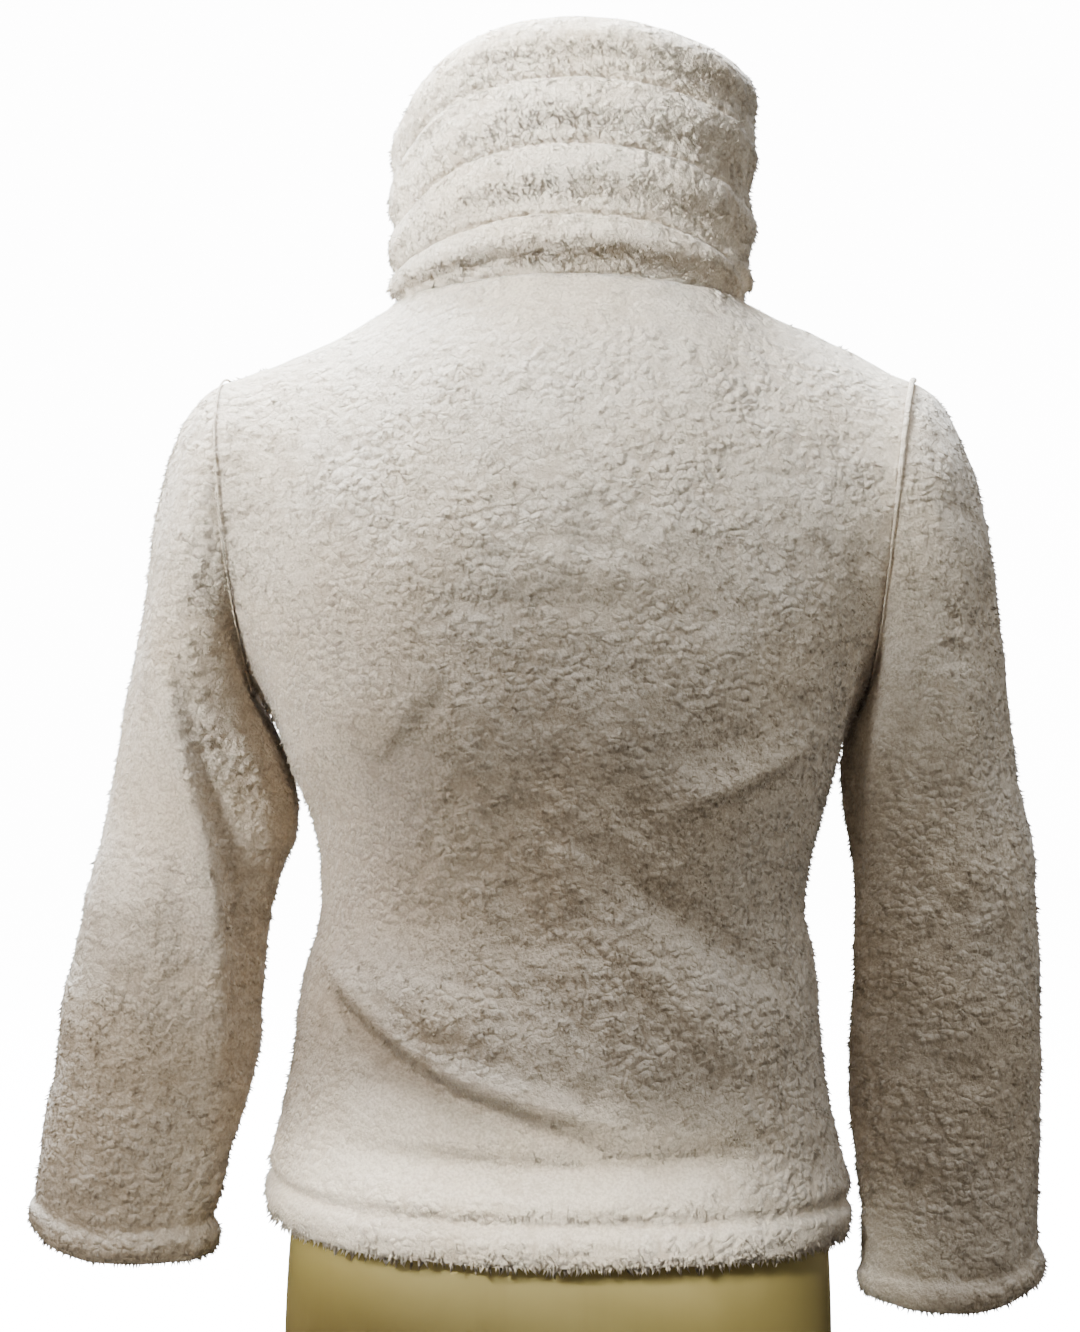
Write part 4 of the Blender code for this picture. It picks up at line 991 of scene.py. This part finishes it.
def growPile(base, seed):
    name = base.name + "Pile"
    plan = Plan(name)
    amount = plan.sum("MULTIPLY", plan.named("pile"), pile["density"])
    inputs = {"Mesh": plan.start, "Density": amount, "Seed": seed}
    points = plan.node("GeometryNodeDistributePointsOnFaces", None, inputs)
    place = plan.node("GeometryNodeInputPosition")[0]
    crack = planCrack(plan, place)
    shade = plan.randomValue(0.0, pile["shade"], seed + 4)
    kept = plan.stored(points["Points"], "clothNormal", points["Normal"], "FLOAT_VECTOR")
    kept = plan.stored(kept, "shade", shade)
    # the crack mask also sets the painted shade in the cracks of the pile's colour
    kept = plan.stored(kept, "clump", crack)
    drop = plan.sum("SUBTRACT", crack, 1.0 + pile["depth"] / pile["sink"])
    sunk = plan.times(plan.named("clothNormal", "FLOAT_VECTOR"), plan.sum("MULTIPLY", drop, pile["sink"]))
    kept = plan.node("GeometryNodeSetPosition", None, {"Geometry": kept, "Offset": sunk})[0]
    inputs = {"Axis": (0, 0, 1), "Angle": plan.randomValue(0, math.tau, seed + 2)}
    spin = plan.node("FunctionNodeAxisAngleToRotation", None, inputs)[0]
    inputs = {0: planWay(plan, place, seed + 1), 1: spin}
    turn = plan.node("FunctionNodeRotateRotation", {"rotation_space": "LOCAL"}, inputs)[0]
    uneven = plan.randomValue(pile["shortest"], pile["longest"], seed + 3)
    size = plan.sum("MULTIPLY", plan.named("pileLength"), uneven)
    inputs = {"Object": tuftPiece, "As Instance": True}
    tuft = plan.node("GeometryNodeObjectInfo", None, inputs)["Geometry"]
    inputs = {"Points": kept, "Instance": tuft, "Rotation": turn, "Scale": size}
    placed = plan.node("GeometryNodeInstanceOnPoints", None, inputs)[0]
    whole = plan.node("GeometryNodeRealizeInstances", None, {"Geometry": placed})[0]
    smooth = plan.node("GeometryNodeSetShadeSmooth", None, {"Geometry": whole})[0]
    plan.tree.links.new(smooth, plan.end)
    piece = bpy.data.objects.new(name, base.data.copy())
    scene.collection.objects.link(piece)
    grow = piece.modifiers.new("pile", "NODES")
    grow.node_group = plan.tree
    applied(piece)
    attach(piece, "jacket")
    print(name, len(piece.data.polygons), "faces")
    return piece


# the pile grown on each piece of cloth, and the pile and seam that go with each piece
sewn = [back, frontLeft, frontRight, sleeveLeft, sleeveRight, collarPiece]
tuftPiece = makeTuft()
piles = [growPile(piece, 11 * number + 5) for number, piece in enumerate(sewn)]
bpy.data.objects.remove(tuftPiece)
for piece, grown in zip(sewn, piles):
    others = [grown] + ([welts[piece.name]] if piece.name in welts else [])
print("cloth and pile made")

dressForm = {"rimCrease": 0.9, "smoothing": 2, "baseTop": 0.0005}


def makeForm():
    form = cleanCopy("dress_form")
    layer = form.edges.layers.float.new("crease_edge")
    base = [face for face in form.faces if face.calc_center_median().z < dressForm["baseTop"]]
    for edge in form.edges:
        if sum(face in base for face in edge.link_faces) == 1:
            edge[layer] = dressForm["rimCrease"]
    bmesh.ops.dissolve_faces(form, faces=base)
    piece = smoothed(addPiece("dressForm", form, makeFormCover()), dressForm["smoothing"])
    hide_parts("dress_form")
    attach(piece, "jacket")


makeForm()
print("dress form made")

teeth = {
    "step": 0.00252,
    "start": 0.1325,
    "end": 0.7405,
    "size": (0.0030, 0.00135, 0.0011),  # across, up and out
    "reach": 0.0013,
    "rayStart": -0.3,  # in front of the jacket
    "lift": 0.2,  # how far out of the chain each tooth's middle is, as a share of its depth
    "rounding": 0.00028,
}


def makeTeeth(material):
    # interlocked teeth from both sides, set on the front of the chain
    chain = nodes["zip_chain"].data
    points = readPoints(chain)
    levels = np.unique(points[:, 2].round(4))
    across = [points[np.abs(points[:, 2] - level) < 0.0002, 0].mean() for level in levels]
    faces = [tuple(face.vertices) for face in chain.polygons]
    surface = BVHTree.FromPolygons([Vector(point) for point in points], faces)
    right = Vector((1, 0, 0))
    out = teeth["size"][2] * teeth["lift"]
    form = bmesh.new()
    for number in range(int((teeth["end"] - teeth["start"]) / teeth["step"])):
        height = teeth["start"] + number * teeth["step"]
        middle = float(np.interp(height, levels, across))
        start = Vector((middle, teeth["rayStart"], height))
        place, normal, _, _ = surface.ray_cast(start, Vector((0, 1, 0)))
        turned = Matrix((right, right.cross(normal).normalized(), normal)).transposed().to_4x4()
        side = 1 if number % 2 else -1
        shift = Matrix.Translation(place + Vector((side * teeth["reach"], 0, 0)) + normal * out)
        bmesh.ops.create_cube(form, size=1, matrix=shift @ turned @ Matrix.Diagonal((*teeth["size"], 1)))
    bmesh.ops.bevel(
        form,
        geom=form.edges,
        offset=teeth["rounding"],
        segments=2,
        affect="EDGES",
        profile=0.5,
        material=-1,
        offset_type="OFFSET",
    )
    piece = addPiece("zipTeeth", form, material)
    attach(piece, "jacket")


hardware = {
    "sliderBody": {"node": "zip_slider", "body": "jacket", "rounding": 0.00025},
    "pullTab": {"node": "zip_pull", "body": "pull", "rounding": 0.00020},
}


def softenEdges(name, material):
    # a hard piece with its edges rounded
    row = hardware[name]
    form = bmesh.new()
    form.from_mesh(nodes[row["node"]].data)
    bmesh.ops.remove_doubles(form, verts=form.verts, dist=0.00001)
    bmesh.ops.dissolve_limit(form, angle_limit=0.02, verts=form.verts, edges=form.edges)
    piece = addPiece(name, form, material)
    rounding = piece.modifiers.new("rounding", "BEVEL")
    rounding.width = row["rounding"]
    rounding.segments = 3
    rounding.limit_method = "ANGLE"
    rounding.angle_limit = math.radians(40)
    applied(piece)
    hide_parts(row["node"])
    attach(piece, row["body"])


tapeMaterial = makeTape()
metalMaterial = makeMetal()
for name in ("zip_tape_left", "zip_tape_right", "zip_chain"):
    nodes[name].data.materials.clear()
    nodes[name].data.materials.append(tapeMaterial)
makeTeeth(makeMoulded())
for name in hardware:
    softenEdges(name, metalMaterial)
print("zip made")

studio = {
    "floor": (0.86, 0.86, 0.85),
    "floorSize": 6,
    "wallRadius": 3.4,
    "wallHeight": 5,
    "glow": 14.0,
    "world": 0.085,
    "worldColour": (1, 0.90, 0.74),
}
# place, what it points at, size, power, colour and spread in degrees
lamps = {
    "key": ((0.85, 0.95, 1.15), (0.05, 0, 1.01), (0.6, 0.6), 8.6, (0.97, 1.0, 0.99), 32),
    "top": ((0.05, 0.21, 1.95), (0, 0, 0.6), (1.0, 1.0), 32, (0.92, 0.96, 1.0), 180),
    "shoulders": ((0.25, -0.25, 1.75), (0, 0, 0.6), (0.8, 0.8), 120, (0.80, 0.90, 1.0), 180),
    "side": ((1.4, 0.35, 0.80), (0.20, 0, 0.30), (0.5, 0.5), 0.7, (1.0, 0.84, 0.70), 60),
    "sleeve": ((1.0, 0.75, 0.75), (0.262, 0, 0.47), (0.3, 0.3), 0.55, (1.0, 1.0, 0.97), 14),
    "right": ((-1.3, 0.7, 0.9), (-0.10, 0, 0.50), (0.6, 0.6), 0.55, (0.96, 1.0, 1.0), 60),
    "low": ((0.75, 0.85, 0.16), (0.24, 0.02, 0.18), (0.4, 0.3), 0.11, (1.0, 0.93, 0.82), 26),
    "hem": ((0.26, 0.68, 0.44), (0.045, 0.12, 0.158), (0.33, 0.05), 0.20, (0.98, 0.98, 0.92), 12),
    "fill": ((-0.5, 2.4, 0.5), (0, 0, 0.4), (1.5, 1.5), 4.6, (1.0, 0.90, 0.77), 180),
    "front": ((-0.6, -2.2, 1.1), (0, 0, 0.4), (1.2, 1.2), 10, (1.0, 0.98, 0.95), 180),
}


def addLamp(name):
    place, target, size, power, colour, spread = lamps[name]
    data = bpy.data.lights.new(name, "AREA")
    data.shape = "RECTANGLE"
    data.size, data.size_y = size
    data.energy = power
    data.color = colour
    data.spread = math.radians(spread)
    lamp = bpy.data.objects.new(name, data)
    scene.collection.objects.link(lamp)
    lamp.location = place
    lamp.rotation_euler = (Vector(target) - Vector(place)).to_track_quat("-Z", "Y").to_euler()


def makeStudio():
    # a pale floor and wall that shine white to the camera and throw no light back at the cloth
    settings = {"Base Color": (*studio["floor"], 1), "Roughness": 0.9, "Emission Color": (1, 1, 1, 1)}
    paint = Paint("paleGround", {**settings, "Emission Strength": studio["glow"]})
    ground = bmesh.new()
    bmesh.ops.create_grid(ground, x_segments=1, y_segments=1, size=studio["floorSize"])
    backdrop = bmesh.new()
    below = Matrix.Translation((0, 0, -0.01))
    first = bmesh.ops.create_circle(backdrop, segments=64, radius=studio["wallRadius"], matrix=below)
    edges = list({edge for vert in first["verts"] for edge in vert.link_edges})
    raised = bmesh.ops.extrude_edge_only(backdrop, edges=edges)
    raised = [part for part in raised["geom"] if isinstance(part, bmesh.types.BMVert)]
    bmesh.ops.translate(backdrop, verts=raised, vec=(0, 0, studio["wallHeight"]))
    for name, form in (("floor", ground), ("backdrop", backdrop)):
        sheet = addPiece(name, form, paint.material)
        sheet.visible_diffuse = False
        sheet.visible_glossy = False
        sheet.visible_shadow = name == "floor"
    for name in lamps:
        addLamp(name)
    world = bpy.data.worlds.new("world")
    scene.world = world
    world.use_nodes = True
    sky = world.node_tree.nodes["Background"].inputs
    sky[0].default_value = (*studio["worldColour"], 1)
    sky[1].default_value = studio["world"]


makeStudio()
print("studio made")
